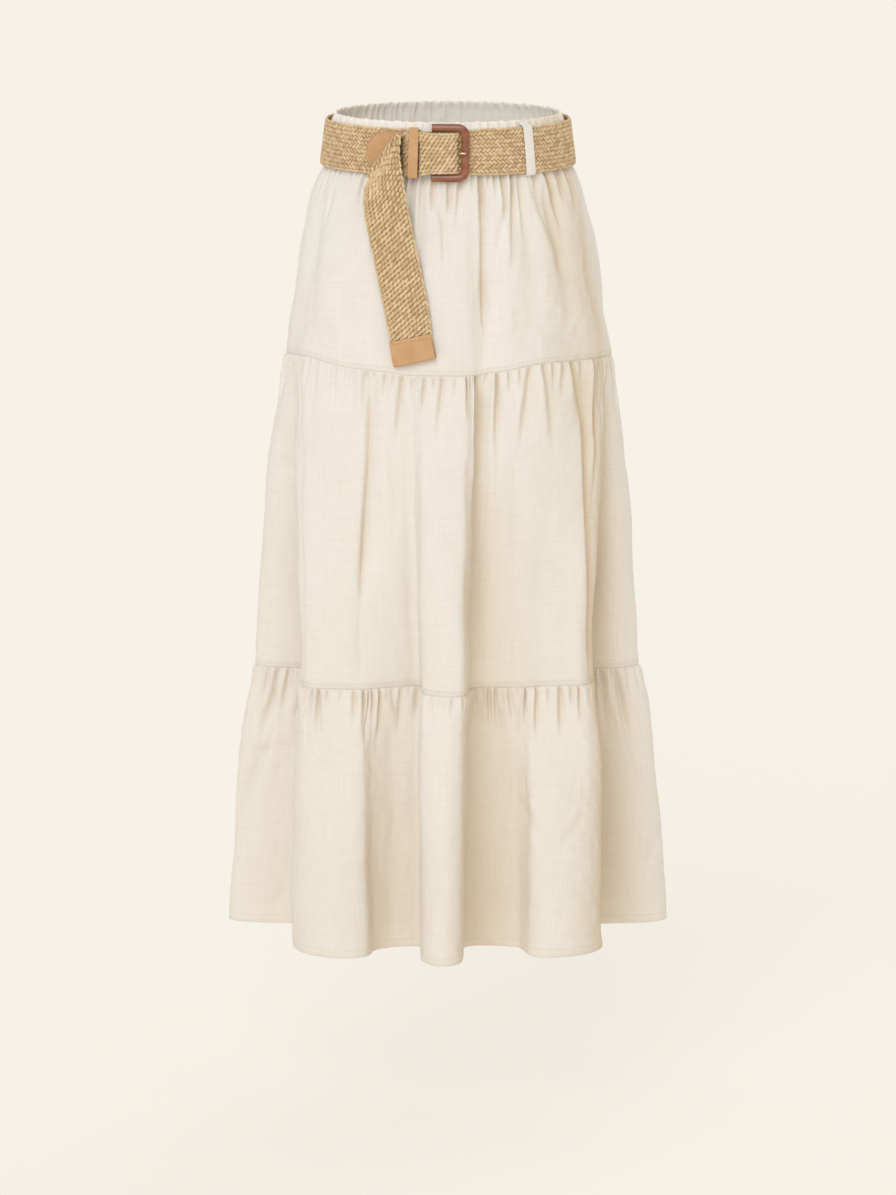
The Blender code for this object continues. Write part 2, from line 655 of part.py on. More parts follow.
def make_buckle(group, cutters):
    place = buckle_empty(group)
    frame = tube("buckle_frame", buckle_outline(), BUCKLE_TUBE, 3, group, "brown")
    frame.scale = (1, BUCKLE_THIN, 1)
    frame.parent = place
    prong = tube("buckle_prong", prong_line(), PRONG_RADIUS, 2, group, "brass")
    prong.parent = place
    shank = prong_line()[PRONG_EYE_STEPS + 1 :]
    hole = tube("prong_hole", shank, PRONG_HOLE, 2, cutters, "brass")
    hole.parent = place
    bpy.ops.mesh.primitive_cylinder_add(
        vertices=16, radius=BAR_RADIUS, depth=2 * (BUCKLE_ARM - BUCKLE_TUBE - SEAM)
    )
    bar = bpy.context.active_object
    bar.name = "buckle_bar"
    bar.data.materials.append(finish_of("buckle_bar", "brass"))
    bpy.context.collection.objects.unlink(bar)
    group.objects.link(bar)
    bar.location = (BAR_AT, 0, 0)
    bar.parent = place
    return as_mesh_cutter(hole, cutters), place


def make_strap(group, hole):
    sections = strap_on_waist() + strap_fold_and_tail()
    strap = add_object("belt_strap", loft("belt_strap", sections), "braid", group)
    cut_with(strap, hole)
    return strap


def make_tip(group):
    """Leather turned over the end of the tail: down its front, under it and up its back."""
    before, last = TAIL[-2], TAIL[-1]
    left = Vector((last.left_x, last.left_y, last.left_z))
    right = Vector((last.right_x, last.right_y, last.right_z))
    down = (left - Vector((before.left_x, before.left_y, before.left_z))).normalized()
    across = (right - left).normalized()
    face = tail_facing(left, right)
    out = STRAP / 2 + SEAM + LEATHER / 2
    turn = [(-1, 0.0), (-1, 1.0), (-0.5, 1.0), (0.5, 1.0), (1, 1.0), (1, 0.0)]
    half = (right - left).length / 2 + TIP_OVERHANG
    middle = (left + right) / 2
    path = []
    for side, end in turn:
        reach = TIP_UNDER if abs(side) < 1 else TIP_BEND
        along = reach if end else -TIP_LENGTH + TIP_UNDER
        path.append(middle + face * (out * side) + down * along)
    sections = []
    for i, spot in enumerate(path):
        ahead = (path[min(i + 1, len(path) - 1)] - path[max(i - 1, 0)]).normalized()
        facing = ahead.cross(across).normalized()
        step = facing * (LEATHER / 2)
        edge = across * half
        sections.append([spot - edge - step, spot - edge + step, spot + edge + step, spot + edge - step])
    return add_object("belt_tip", loft("belt_tip", sections), "leather", group)


def strap_out_near(x):
    """How far out the middle of the strap's inner layer lies."""
    rows = STRAP_START + [StrapPlace(STRAP_ROUND_X, STRAP_ROUND_OUT, STRAP_HALF)]
    for near, far in zip(rows, rows[1:]):
        if far.x <= x <= near.x:
            share = (near.x - x) / (near.x - far.x)
            return near.out + share * (far.out - near.out)
    return rows[-1].out if x < rows[-1].x else rows[0].out


def make_tab(group, cutters, place):
    """The front leaf on the strap, the turn round the bar and a short back leaf."""
    over = STRAP / 2 + SEAM + LEATHER / 2
    sections = []
    for i in range(TAB_STEPS):
        share = TAB_BLUNT + (1 - TAB_BLUNT) * i / TAB_STEPS
        x = TAB_END + TAB_ROUND * (1 - math.sqrt(1 - share**2))
        out = strap_out_near(x) + over
        sections.append(band_section(bearing_at(x, out), out, TAB_HALF * share, LEATHER))
    for x in TAB_FRONT_PLACES:
        out = strap_out_near(x) + over
        sections.append(band_section(bearing_at(x, out), out, TAB_HALF, LEATHER))
    roll = BAR_RADIUS + SEAM + LEATHER / 2
    middle = BUCKLE_FORWARD + BAR_AT * math.tan(math.radians(-BUCKLE_TURN)) + TAB_ROLL_OUT
    for i in range(TAB_ROLL_STEPS + 1):
        angle = math.radians(TAB_ROLL_FROM + (TAB_ROLL_TO - TAB_ROLL_FROM) * i / TAB_ROLL_STEPS)
        x = BAR_AT + roll * math.sin(angle)
        out = middle + roll * math.cos(angle)
        near, far = roll_pair(x, out, angle)
        sections.append([near[0], far[0], far[1], near[1]])
    for x in TAB_BACK_PLACES:
        near = band_section(bearing_at(x, SEAM), SEAM + LEATHER / 2, TAB_HALF, LEATHER)
        sections.append([near[1], near[0], near[3], near[2]])
    tab = add_object("belt_tab", loft("belt_tab", sections), "leather", group)
    bpy.ops.mesh.primitive_cube_add(size=1)
    slot = bpy.context.active_object
    slot.name = "tab_slot_cutter"
    slot.scale = (TAB_SLOT_LENGTH, TAB_SLOT_DEPTH, 2 * TAB_SLOT_HALF)
    slot.location = (BAR_AT + TAB_SLOT_SHIFT, 0, 0)
    slot.parent = place
    bpy.context.collection.objects.unlink(slot)
    cutters.objects.link(slot)
    cut_with(tab, slot)
    return tab


def roll_pair(x, out, angle):
    """Two edges of the leather at each height where it turns round the bar."""
    found = []
    for side in (-1, 1):
        move = side * LEATHER / 2
        spot_x = x + move * math.sin(angle)
        spot_out = out + move * math.cos(angle)
        edges = [(bearing_at(spot_x, spot_out, z), z) for z in (-TAB_HALF, TAB_HALF)]
        found.append([belt_point(bearing, spot_out, z) for bearing, z in edges])
    return found


def make_keeper(group):
    """A closed leather band round both layers of the strap and the tab."""
    high = STRAP_HALF + KEEPER_CLEAR + LEATHER - KEEPER_CORNER
    far, near = KEEPER_OUT - KEEPER_CORNER, KEEPER_IN + KEEPER_CORNER
    corners = ((far, high, 0), (near, high, 90), (near, -high, 180), (far, -high, 270))
    sections = []
    for out, z, first in corners:
        for step in (0, 45, 90):
            sections.append(keeper_section(out, z, math.radians(first + step)))
    return add_object("belt_keeper", loft("belt_keeper", sections, closed=True), "leather", group)


def keeper_section(out, z, angle):
    """Its section at one angle of the corner round the middle at out and z."""
    left, right = KEEPER_AT - KEEPER_HALF, KEEPER_AT + KEEPER_HALF
    inside = KEEPER_CORNER - LEATHER
    corners = []
    for x, radius in ((left, inside), (left, KEEPER_CORNER), (right, KEEPER_CORNER), (right, inside)):
        here = out + radius * math.cos(angle)
        height = z + radius * math.sin(angle)
        corners.append(belt_point(bearing_at(x, here), here, height))
    return corners


# One row for each turn of a belt loop, from its upper end over the belt to its lower end.
LoopTurn = namedtuple("LoopTurn", "out z")
LOOP_TURNS = [
    LoopTurn(-0.0026, 0.0284),
    LoopTurn(-0.0016, 0.0266),
    LoopTurn(0.0008, 0.0256),
    LoopTurn(0.0036, 0.0250),
    LoopTurn(0.0050, 0.0236),
    LoopTurn(0.0050, 0.0120),
    LoopTurn(0.0050, 0.0000),
    LoopTurn(0.0050, -0.0120),
    LoopTurn(0.0050, -0.0228),
    LoopTurn(0.0042, -0.0248),
    LoopTurn(0.0016, -0.0258),
]
LOOPS = {"loop_front_right": 39.5, "loop_back_right": 139.0, "loop_back_left": 221.0}


def make_loop(name, bearing, group):
    half_angle = math.degrees(LOOP_HALF / WAIST_HALF_WIDTH) * loop_spread(bearing)
    sections = []
    for i, turn in enumerate(LOOP_TURNS):
        before = LOOP_TURNS[max(i - 1, 0)]
        after = LOOP_TURNS[min(i + 1, len(LOOP_TURNS) - 1)]
        along = Vector((after.out - before.out, after.z - before.z)).normalized()
        step = Vector((-along.y, along.x)) * (LOOP_CLOTH / 2)
        corners = []
        for side, way in ((-1, -1), (-1, 1), (1, 1), (1, -1)):
            out, z = turn.out + way * step.x, turn.z + way * step.y
            corners.append(belt_point(bearing + side * half_angle, out, z))
        sections.append(corners)
    return add_object(name, loft(name, sections), "linen", group)


def loop_spread(bearing):
    """The oval turns faster for each metre of its length where it is tightest."""
    angle = math.radians(bearing)
    across = Vector((WAIST_HALF_WIDTH * math.cos(angle), WAIST_HALF_DEPTH * math.sin(angle)))
    return WAIST_HALF_WIDTH / across.length


def build():
    clear_scene()
    group = new_collection("tiered_maxi_skirt")
    cutters = new_collection("cutters")
    make_cloth(group)
    hole, place = make_buckle(group, cutters)
    make_strap(group, hole)
    make_tab(group, cutters, place)
    make_keeper(group)
    make_tip(group)
    for name, bearing in LOOPS.items():
        make_loop(name, bearing, group)


build()
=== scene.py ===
# A long linen skirt in three gathered tiers, with its braided straw belt.
# Metres, +Z up. The front looks to -Y, the origin is the middle of the waist.

import math

import bpy
import numpy as np
from mathutils import Euler, Matrix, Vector
from mathutils.bvhtree import BVHTree


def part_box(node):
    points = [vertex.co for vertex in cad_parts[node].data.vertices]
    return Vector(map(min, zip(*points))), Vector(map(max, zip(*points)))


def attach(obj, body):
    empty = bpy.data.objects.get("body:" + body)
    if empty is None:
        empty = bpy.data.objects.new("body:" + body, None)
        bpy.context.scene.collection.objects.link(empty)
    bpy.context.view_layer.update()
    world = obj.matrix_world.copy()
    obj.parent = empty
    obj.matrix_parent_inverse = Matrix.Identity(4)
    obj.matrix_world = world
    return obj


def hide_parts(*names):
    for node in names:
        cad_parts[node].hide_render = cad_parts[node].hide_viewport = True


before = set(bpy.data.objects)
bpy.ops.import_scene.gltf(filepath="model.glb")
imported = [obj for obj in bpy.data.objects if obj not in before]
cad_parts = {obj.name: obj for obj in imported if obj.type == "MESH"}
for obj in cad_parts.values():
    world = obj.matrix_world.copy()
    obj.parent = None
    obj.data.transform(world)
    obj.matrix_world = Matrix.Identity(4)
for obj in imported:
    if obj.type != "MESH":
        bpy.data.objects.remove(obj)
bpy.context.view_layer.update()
print("frame loaded,", len(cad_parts), "nodes")


# camera
camera = {"place": (0.0, -6.0645, 0.806), "tilt": 78.0, "lens": 177.9, "sensor": 36.0}


def makeCamera():
    data = bpy.data.cameras.new("skirtCamera")
    data.lens = camera["lens"]
    data.sensor_width = camera["sensor"]
    data.clip_end = 200
    eye = bpy.data.objects.new("skirtCamera", data)
    eye.location = camera["place"]
    eye.rotation_euler = (math.radians(camera["tilt"]), 0, 0)
    bpy.context.scene.collection.objects.link(eye)
    bpy.context.scene.camera = eye


makeCamera()


# small helpers for meshes and materials
def meshPiece(name, points, quads, material, triangles=(), uvs=None, tints=None):
    mesh = bpy.data.meshes.new(name)
    faces = [tuple(q) for q in np.asarray(quads).tolist()]
    faces += [tuple(t) for t in np.asarray(triangles).tolist()]
    mesh.from_pydata(np.asarray(points).tolist(), [], faces)
    mesh.shade_smooth()
    for layerName, values in (("cloth", uvs), ("tint", tints)):
        if values is not None:
            layer = mesh.uv_layers.new(name=layerName)
            layer.data.foreach_set("uv", np.asarray(values, np.float32).ravel())
    mesh.materials.append(material)
    piece = bpy.data.objects.new(name, mesh)
    bpy.context.scene.collection.objects.link(piece)
    return piece


def dress(piece, slot, *nodes):
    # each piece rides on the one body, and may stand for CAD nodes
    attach(piece, "root")
    if nodes:
        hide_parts(*nodes)


def unit(vectors):
    return vectors / np.linalg.norm(vectors, axis=-1, keepdims=True)


def runOf(line):
    # length along a line, up to each of its points
    return np.concatenate([[0], np.cumsum(np.linalg.norm(np.diff(line, axis=0), axis=1))])


def onLine(wanted, run, line):
    return np.stack([np.interp(wanted, run, line[:, i]) for i in range(3)], 1)


def smoothly(t, gap, before, after, slopeBefore, slopeAfter):
    # between two known rows, with t from 0 to 1
    start = (2 * t**3 - 3 * t**2 + 1) * before + (t**3 - 2 * t**2 + t) * gap * slopeBefore
    end = (-2 * t**3 + 3 * t**2) * after + (t**3 - t**2) * gap * slopeAfter
    return start + end


def ringQuads(rings, size, closed=False, flipped=False):
    # faces between neighbouring rings of points
    ring, spot = np.meshgrid(np.arange(rings if closed else rings - 1), np.arange(size), indexing="ij")
    nextRing, nextSpot = (ring + 1) % rings, (spot + 1) % size
    corners = [ring * size + spot, nextRing * size + spot, nextRing * size + nextSpot, ring * size + nextSpot]
    if flipped:
        corners = [corners[i] for i in (0, 3, 2, 1)]
    return np.stack(corners, -1).reshape(-1, 4)


class Recipe:
    # builds one material, node by node
    def __init__(self, name):
        self.material = bpy.data.materials.new(name)
        self.material.use_nodes = True
        self.tree = self.material.node_tree
        self.shader = self.tree.nodes["Principled BSDF"]

    def node(self, kind, settings=None, **inputs):
        made = self.tree.nodes.new(kind)
        for key, value in (settings or {}).items():
            setattr(made, key, value)
        for key, value in inputs.items():
            self.feed(made.inputs[key.replace("_", " ")], value)
        return made

    def feed(self, socket, value):
        if isinstance(value, bpy.types.NodeSocket):
            self.tree.links.new(value, socket)
        else:
            socket.default_value = value

    def onObject(self):
        return self.node("ShaderNodeTexCoord").outputs["Object"]

    def onMap(self, name):
        return self.node("ShaderNodeUVMap", {"uv_map": name}).outputs["UV"]

    def part(self, vector, axis):
        return self.node("ShaderNodeSeparateXYZ", None, Vector=vector).outputs[axis]

    def scaled(self, source, scale):
        made = self.node("ShaderNodeMapping")
        self.feed(made.inputs["Vector"], source)
        made.inputs["Scale"].default_value = scale
        return made.outputs["Vector"]

    def noise(self, vector, scale, detail=2.0, rough=0.5):
        inputs = {"Vector": vector, "Scale": scale, "Detail": detail, "Roughness": rough}
        return self.node("ShaderNodeTexNoise", None, **inputs).outputs["Fac"]

    def wave(self, vector, scale, direction, distortion=0.0):
        made = self.node(
            "ShaderNodeTexWave",
            {"wave_type": "BANDS", "bands_direction": direction, "wave_profile": "SIN"},
            Vector=vector, Scale=scale, Distortion=distortion,
        )
        return made.outputs["Fac"]

    def maths(self, how, a, b):
        made = self.node("ShaderNodeMath", {"operation": how})
        self.feed(made.inputs[0], a)
        self.feed(made.inputs[1], b)
        return made.outputs[0]

    def weighed(self, a, shareOfA, b, shareOfB):
        return self.maths("ADD", self.maths("MULTIPLY", a, shareOfA), self.maths("MULTIPLY", b, shareOfB))

    def ramp(self, source, stops):
        made = self.node("ShaderNodeValToRGB")
        self.feed(made.inputs["Fac"], source)
        band = made.color_ramp
        band.elements[0].position, band.elements[0].color = stops[0][0], (*stops[0][1], 1)
        band.elements[1].position, band.elements[1].color = stops[-1][0], (*stops[-1][1], 1)
        for position, colour in stops[1:-1]:
            band.elements.new(position).color = (*colour, 1)
        return made.outputs["Color"]

    def blended(self, share, a, b, how="MIX"):
        made = self.node("ShaderNodeMix", {"data_type": "RGBA", "blend_type": how})
        self.feed(made.inputs[0], share)
        self.feed(made.inputs[6], a)
        self.feed(made.inputs[7], b)
        return made.outputs[2]

    def bump(self, height, distance, strength=1.0, rounded=None):
        made = self.node("ShaderNodeBump", None, Height=height, Distance=distance, Strength=strength)
        if rounded:
            self.feed(made.inputs["Normal"], rounded)
        self.feed(self.shader.inputs["Normal"], made.outputs["Normal"])

    def edges(self, radius):
        # the rounded normal, and a mask that is high along edges
        rounded = self.node("ShaderNodeBevel", {"samples": 6}, Radius=radius).outputs["Normal"]
        plain = self.node("ShaderNodeNewGeometry").outputs["True Normal"]
        same = self.node("ShaderNodeVectorMath", {"operation": "DOT_PRODUCT"})
        self.feed(same.inputs[0], rounded)
        self.feed(same.inputs[1], plain)
        turned = self.maths("SUBTRACT", 1.0, same.outputs["Value"])
        return rounded, self.maths("MULTIPLY", turned, 4.0)

    def finish(self, **values):
        for key, value in values.items():
            self.feed(self.shader.inputs[key.replace("_", " ")], value)
        return self.material


# linen
linen = {
    "pale": (0.802, 0.766, 0.71),
    "deep": (0.768, 0.724, 0.655),
    "lightest": (0.832, 0.8, 0.748),
    "toneStops": (0.52, 0.78, 1.0),  # where the deep, the pale and the lightest tone stand
    "slubShare": 0.62, "cloudShare": 0.34, "cloud": (9, 6),
    "hollow": (0.856, 0.72, 0.53),  # painted shade: what the deepest valleys keep of the colour, a warm darkening standing in for the shade inside the folds
    "hollowShare": (0.56, 0.92),  # of that painted shade in the middle of the front, and in the deep folds beside it
    # how many columns away the cloth on the left may hide a place from the light, for the painted shade
    "hollowReach": [2, 3, 5, 8, 12, 17, 24, 34, 46, 60, 78, 100, 125],
    "hollowAngles": (18.0, 80.0),  # degrees of cloth standing beside it, from no tint to all of it
    "hollowBehind": 0.42,  # share of the tint on the back
    "hollowSides": 0.42,  # how far from the very sides the tint is whole
    "wings": (0.65, 0.8),  # from where to where the front turns into the folds beside it
    "lower": (0.975, 0.95, 0.925),  # painted shade: what the hem keeps of the colour against the waist, the cloth darker towards the hem as if less light reached it
    "hemShadeFrom": -0.1, "hemShadeRate": 1.4,
    "waist": 1.17,  # painted light: how much lighter the waistband's tones are, lifting the shade that falls on it
    "thread": 0.00075,  # one thread to the next
    "slub": 0.0016, "slubRuns": (28, 22),  # a slub's width, and how many to a metre of its length
    "weaveDepth": 0.00022, "weaveShare": 0.35, "weaveStray": 0.6, "slubHeight": 0.9, "relief": 0.8,
    "rough": 0.88, "sheen": 0.12, "sheenRough": 0.6, "gloss": 0.2,
}


def linenMaterial(name, shift=0.0, brighter=1.0):
    # shift moves the clouds of tone, brighter lifts every tone
    mix = Recipe(name)
    tones = [tuple(brighter * part for part in linen[key]) for key in ("deep", "pale", "lightest")]
    coordinates = mix.onMap("cloth")
    waveScale = math.pi / 10 / linen["thread"]
    warp, weft = (mix.wave(coordinates, waveScale, way, linen["weaveStray"]) for way in "XY")
    weave = mix.maths("MULTIPLY", warp, weft)
    fine, (acrossRuns, downRuns) = 1 / linen["slub"], linen["slubRuns"]
    across = mix.noise(mix.scaled(coordinates, (acrossRuns, fine, 1)), 1.0, 3.0)
    down = mix.noise(mix.scaled(coordinates, (fine, downRuns, 1)), 1.0, 3.0)
    slubs = mix.maths("ADD", across, down)
    cloud = mix.noise(mix.scaled(coordinates, (linen["cloud"][0] + shift, linen["cloud"][1], 1)), 1.0, 2.0)
    tone = mix.weighed(slubs, linen["slubShare"], cloud, linen["cloudShare"])
    colour = mix.ramp(tone, list(zip(linen["toneStops"], tones)))
    # painted shade: the tint map's X darkens and warms the cloth in the folds
    colour = mix.blended(mix.part(mix.onMap("tint"), "X"), colour, (*linen["hollow"], 1), "MULTIPLY")
    # painted shade: the cloth grows darker and warmer from below the waist down to the hem
    drop = mix.maths("SUBTRACT", linen["hemShadeFrom"], mix.part(coordinates, "Y"))
    low = mix.maths("MAXIMUM", mix.maths("MULTIPLY", drop, linen["hemShadeRate"]), 0.0)
    colour = mix.blended(mix.maths("MINIMUM", low, 1.0), colour, (*linen["lower"], 1), "MULTIPLY")
    threads = mix.weighed(weave, linen["weaveShare"], slubs, linen["slubHeight"])
    mix.bump(threads, linen["weaveDepth"], linen["relief"])
    return mix.finish(Base_Color=colour, Roughness=linen["rough"], Sheen_Weight=linen["sheen"],
                      Sheen_Roughness=linen["sheenRough"], Specular_IOR_Level=linen["gloss"])


linenCloth = linenMaterial("linenCloth")
linenNarrow = linenMaterial("linenNarrow", 3.0)
# painted light: the waistband's linen with every tone lifted
linenLitWaist = linenMaterial("linenLitWaist", 0.0, linen["waist"])
thread = {
    "linen": (0.8, 0.7, 0.56), "tan": (0.4, 0.23, 0.11),
    "ply": 900.0, "dark": 0.82, "depth": 0.00008, "rough": 0.75,
}


def threadMaterial(name, colour):
    mix = Recipe(name)
    ply = mix.noise(mix.onObject(), thread["ply"])
    darker = tuple(thread["dark"] * part for part in colour)
    mix.bump(ply, thread["depth"])
    return mix.finish(Base_Color=mix.ramp(ply, [(0.3, darker), (0.7, colour)]), Roughness=thread["rough"])


linenThread = threadMaterial("linenThread", thread["linen"])
tanThread = threadMaterial("tanThread", thread["tan"])


# the plan of the cloth: oval at the waist, large folds at the hem
# bearing round the waist, then the place in millimetres at the lower seam and at the hem
foldTurns = np.array([
    (-90, -202, 8, -231, 12), (-81, -184, -6, -206, -2), (-73, -141, -16, -147, -14),
    (-68, -150, -54, -161, -56), (-64, -151, -92, -162, -100), (-58, -142, -104, -152, -124),
    (-48, -120, -110, -124, -144), (-40, -104, -112, -104, -146), (-33, -88, -113, -86, -138),
    (-29, -79, -110, -78, -116), (-25, -69, -106, -62, -104), (-17, -46, -99, -42, -100),
    (-12.5, -31, -97, -30, -100), (-11, -28, -112, -27, -128), (-8.5, -26, -133, -24, -162),
    (-4, -12, -143, -14, -176), (1, 2, -147, -2, -179), (6, 15, -143, 11, -168),
    (8.5, 20, -125, 15, -140), (10.5, 22, -108, 17, -106), (13.5, 30, -103, 26, -98),
    (22, 62, -103, 74, -102), (26, 76, -103, 81, -118), (30, 84, -102, 86, -137),
    (37, 97, -98, 102, -146), (46, 118, -95, 126, -140), (58, 138, -94, 148, -122),
    (65, 148, -84, 158, -104), (69, 150, -50, 160, -60), (73, 144, -16, 149, -14),
    (81, 184, -8, 208, -6), (90, 202, 8, 231, 12), (99, 189, 36, 213, 44),
    (108, 166, 54, 168, 52), (117, 160, 86, 177, 98), (129, 134, 106, 144, 129),
    (138, 110, 96, 114, 90), (146, 94, 114, 103, 135), (155, 70, 124, 75, 155),
    (164, 48, 108, 50, 104), (172, 26, 124, 34, 150), (184, -6, 131, -8, 164),
    (194, -36, 108, -38, 100), (201, -56, 120, -52, 140), (213, -88, 118, -92, 149),
    (222, -112, 94, -112, 86), (230, -130, 104, -130, 121), (242, -158, 88, -173, 106),
    (250, -165, 52, -168, 52), (260, -188, 35, -212, 44),
], float)
foldScale = {"seam": 0.202, "hem": 0.231}
# how much closer columns stand on the front, and rows near the top, as shares
spacing = {"front": 0.35, "uneven": 0.45, "even": 0.55}


def throughRings(rings, heights):
    known = np.array(rings, float)[::-1]
    level, values = known[:, 0], known[:, 1:]
    slope = np.gradient(values, level, axis=0)
    i = np.clip(np.searchsorted(level, heights) - 1, 0, len(level) - 2)
    gap = level[i + 1] - level[i]
    t = np.clip((heights - level[i]) / gap, 0, 1)[:, None]
    return smoothly(t, gap[:, None], values[i], values[i + 1], slope[i], slope[i + 1])


def planTurns(halfWidth, halfDepth, growth):
    angle = np.radians(foldTurns[:, 0])
    oval = np.stack([halfWidth * np.sin(angle), -halfDepth * np.cos(angle)], 1)
    atSeam = foldTurns[:, 1:3] * (halfWidth / foldScale["seam"] / 1000)
    atHem = foldTurns[:, 3:5] * (halfWidth / foldScale["hem"] / 1000)
    if growth <= 1:
        return oval + (atSeam - oval) * growth
    return atSeam + (atHem - atSeam) * (growth - 1)


def planCurve(turns, places):
    count = len(turns)
    first = np.floor(places).astype(int)
    a, b, c, d = (turns[(first + i) % count] for i in (-1, 0, 1, 2))

    def knot(p, q):
        return np.sqrt(np.maximum(np.linalg.norm(q - p, axis=1), 1e-6))

    k1 = knot(a, b)
    k2 = k1 + knot(b, c)
    k3 = k2 + knot(c, d)
    t = k1 + (places - first) * (k2 - k1)

    def between(p, q, low, high):
        return p + (q - p) * ((t - low) / (high - low))[:, None]

    none = np.zeros_like(k1)
    one, two, three = between(a, b, none, k1), between(b, c, k1, k2), between(c, d, k2, k3)
    return between(between(one, two, none, k2), between(two, three, k1, k3), k1, k2)


def bearingsOf(places):
    known = np.append(foldTurns[:, 0], foldTurns[0, 0] + 360)
    return np.interp(places, np.arange(len(known)), known)


def columnPlaces(turns, count):
    # columns along the cloth, closer together on the front; gives their places and their run of cloth
    fine = np.linspace(0, len(turns), 60 * len(turns) + 1)
    steps = np.linalg.norm(np.diff(planCurve(turns, fine), axis=0), axis=1)
    run = np.concatenate([[0], np.cumsum(steps)])
    crowd = 1 + spacing["front"] * np.cos(np.radians(bearingsOf((fine[1:] + fine[:-1]) / 2)))
    weighed = np.concatenate([[0], np.cumsum(steps * crowd)])
    wanted = np.arange(count) / count * weighed[-1]
    places = np.interp(wanted, weighed, fine)
    return places, np.interp(places, fine, run), run[-1]


# relief of the cloth: gathers, soft folds, creases, crumple
gathering = {
    "apart": 0.42,  # of the gap, from any listed gather
    "shorter": (0.5, 1.0), "long": 2.8, "depth": (0.35, 0.95), "longDepth": 1.2, "shortDepth": 0.9,
    "drift": (-0.14, 0.14), "leftSteep": 0.7, "gap": (0.6, 1.35),
    # the shape of one: how it starts, how it fades, its steep side, its easy side and the ridge beside it
    "rise": 0.004, "fade": (2.4, 1.6), "narrow": (0.55, 0.35, 0.9), "wide": (1.5, 1.4),
    "ridge": (2.2, 1.25, 0.34),
}


def gatherList(tier, cloth, girth, seamX, facing, shuffle):
    # listed gathers of the front, then fill-ins all the way round
    found = []
    for x, depth, length, shift in tier["frontGathers"]:
        off = np.abs(seamX - x / 1000) + np.where(facing < -0.15, 0, 1.0)
        found.append((cloth[int(np.argmin(off))], depth, length / 1000, shift / length, 1))
    spot = 0.0
    placed = np.array([f[0] for f in found])
    while spot < girth:
        apart = np.abs((placed - spot + girth / 2) % girth - girth / 2)
        if not len(placed) or apart.min() > gathering["apart"] * tier["gatherGap"]:
            longer = shuffle.random() < tier["longShare"]
            length = shuffle.uniform(*gathering["shorter"]) * tier["gatherLength"]
            length *= gathering["long"] if longer else 1.0
            depth = shuffle.uniform(*gathering["depth"]) * gathering["longDepth" if longer else "shortDepth"]
            drift = shuffle.uniform(*gathering["drift"])
            side = 1 if shuffle.random() < gathering["leftSteep"] else -1
            found.append((spot, depth, length, drift, side))
        spot += tier["gatherGap"] * shuffle.uniform(*gathering["gap"])
    return found


def gatherRelief(tier, gathers, cloth, girth, below):
    # each valley is steep on one side and easy on the other, with a low ridge beside its steep side
    relief = np.zeros((len(below), len(cloth)))
    rise = 0.5 + 0.5 * np.clip(below / gathering["rise"], 0, 1)
    (sooner, slower), (wideTop, wideLow) = gathering["fade"], gathering["wide"]
    least, byDepth, byFall = gathering["narrow"]
    aside, ridgeWidth, ridgeShare = gathering["ridge"]
    for spot, depth, length, drift, side in gathers:
        share = np.clip(below / length, 0, 1)
        fall = (1 - share**sooner) ** slower
        narrow = (tier["gatherWidth"] * (least + byDepth * depth) * (1 + byFall * share))[:, None]
        wide = narrow * (wideTop + wideLow * share[:, None])
        away = (cloth[None, :] - (spot + drift * below)[:, None] + girth / 2) % girth - girth / 2
        away = away * side
        dip = np.exp(-np.where(away < 0, (away / narrow) ** 2, np.abs(away / wide) ** 1.5))
        ridge = np.exp(-(((away + aside * narrow) / (ridgeWidth * narrow)) ** 2))
        relief -= (depth * tier["gatherDepth"] * rise * fall)[:, None] * (dip - ridgeShare * ridge)
    return relief


crease = {
    "foldPeak": 0.22,  # how far down a soft fold is deepest
    "seen": (0.05, 0.3), "taper": (0.08, 0.84, 1.6), "sharp": 1.6,
    "ridge": (0.25, 2.1, 0.9),  # beside a crease of even width: its share, place and width
}


def softRelief(folds, bearings, heights):
    relief = np.zeros((len(heights), len(bearings)))
    peak = crease["foldPeak"]
    for bearing, halfWidth, top, bottom, depth in folds:
        along = np.clip((top - heights) / (top - bottom), 0, 1)
        growing, fading = math.pi / 2 * along / peak, math.pi / 2 * (along - peak) / (1 - peak)
        swell = np.where(along < peak, np.sin(growing), np.cos(fading))
        relief -= (depth * swell)[:, None] * np.exp(-(((bearings - bearing) / halfWidth) ** 2))[None, :]
    return relief


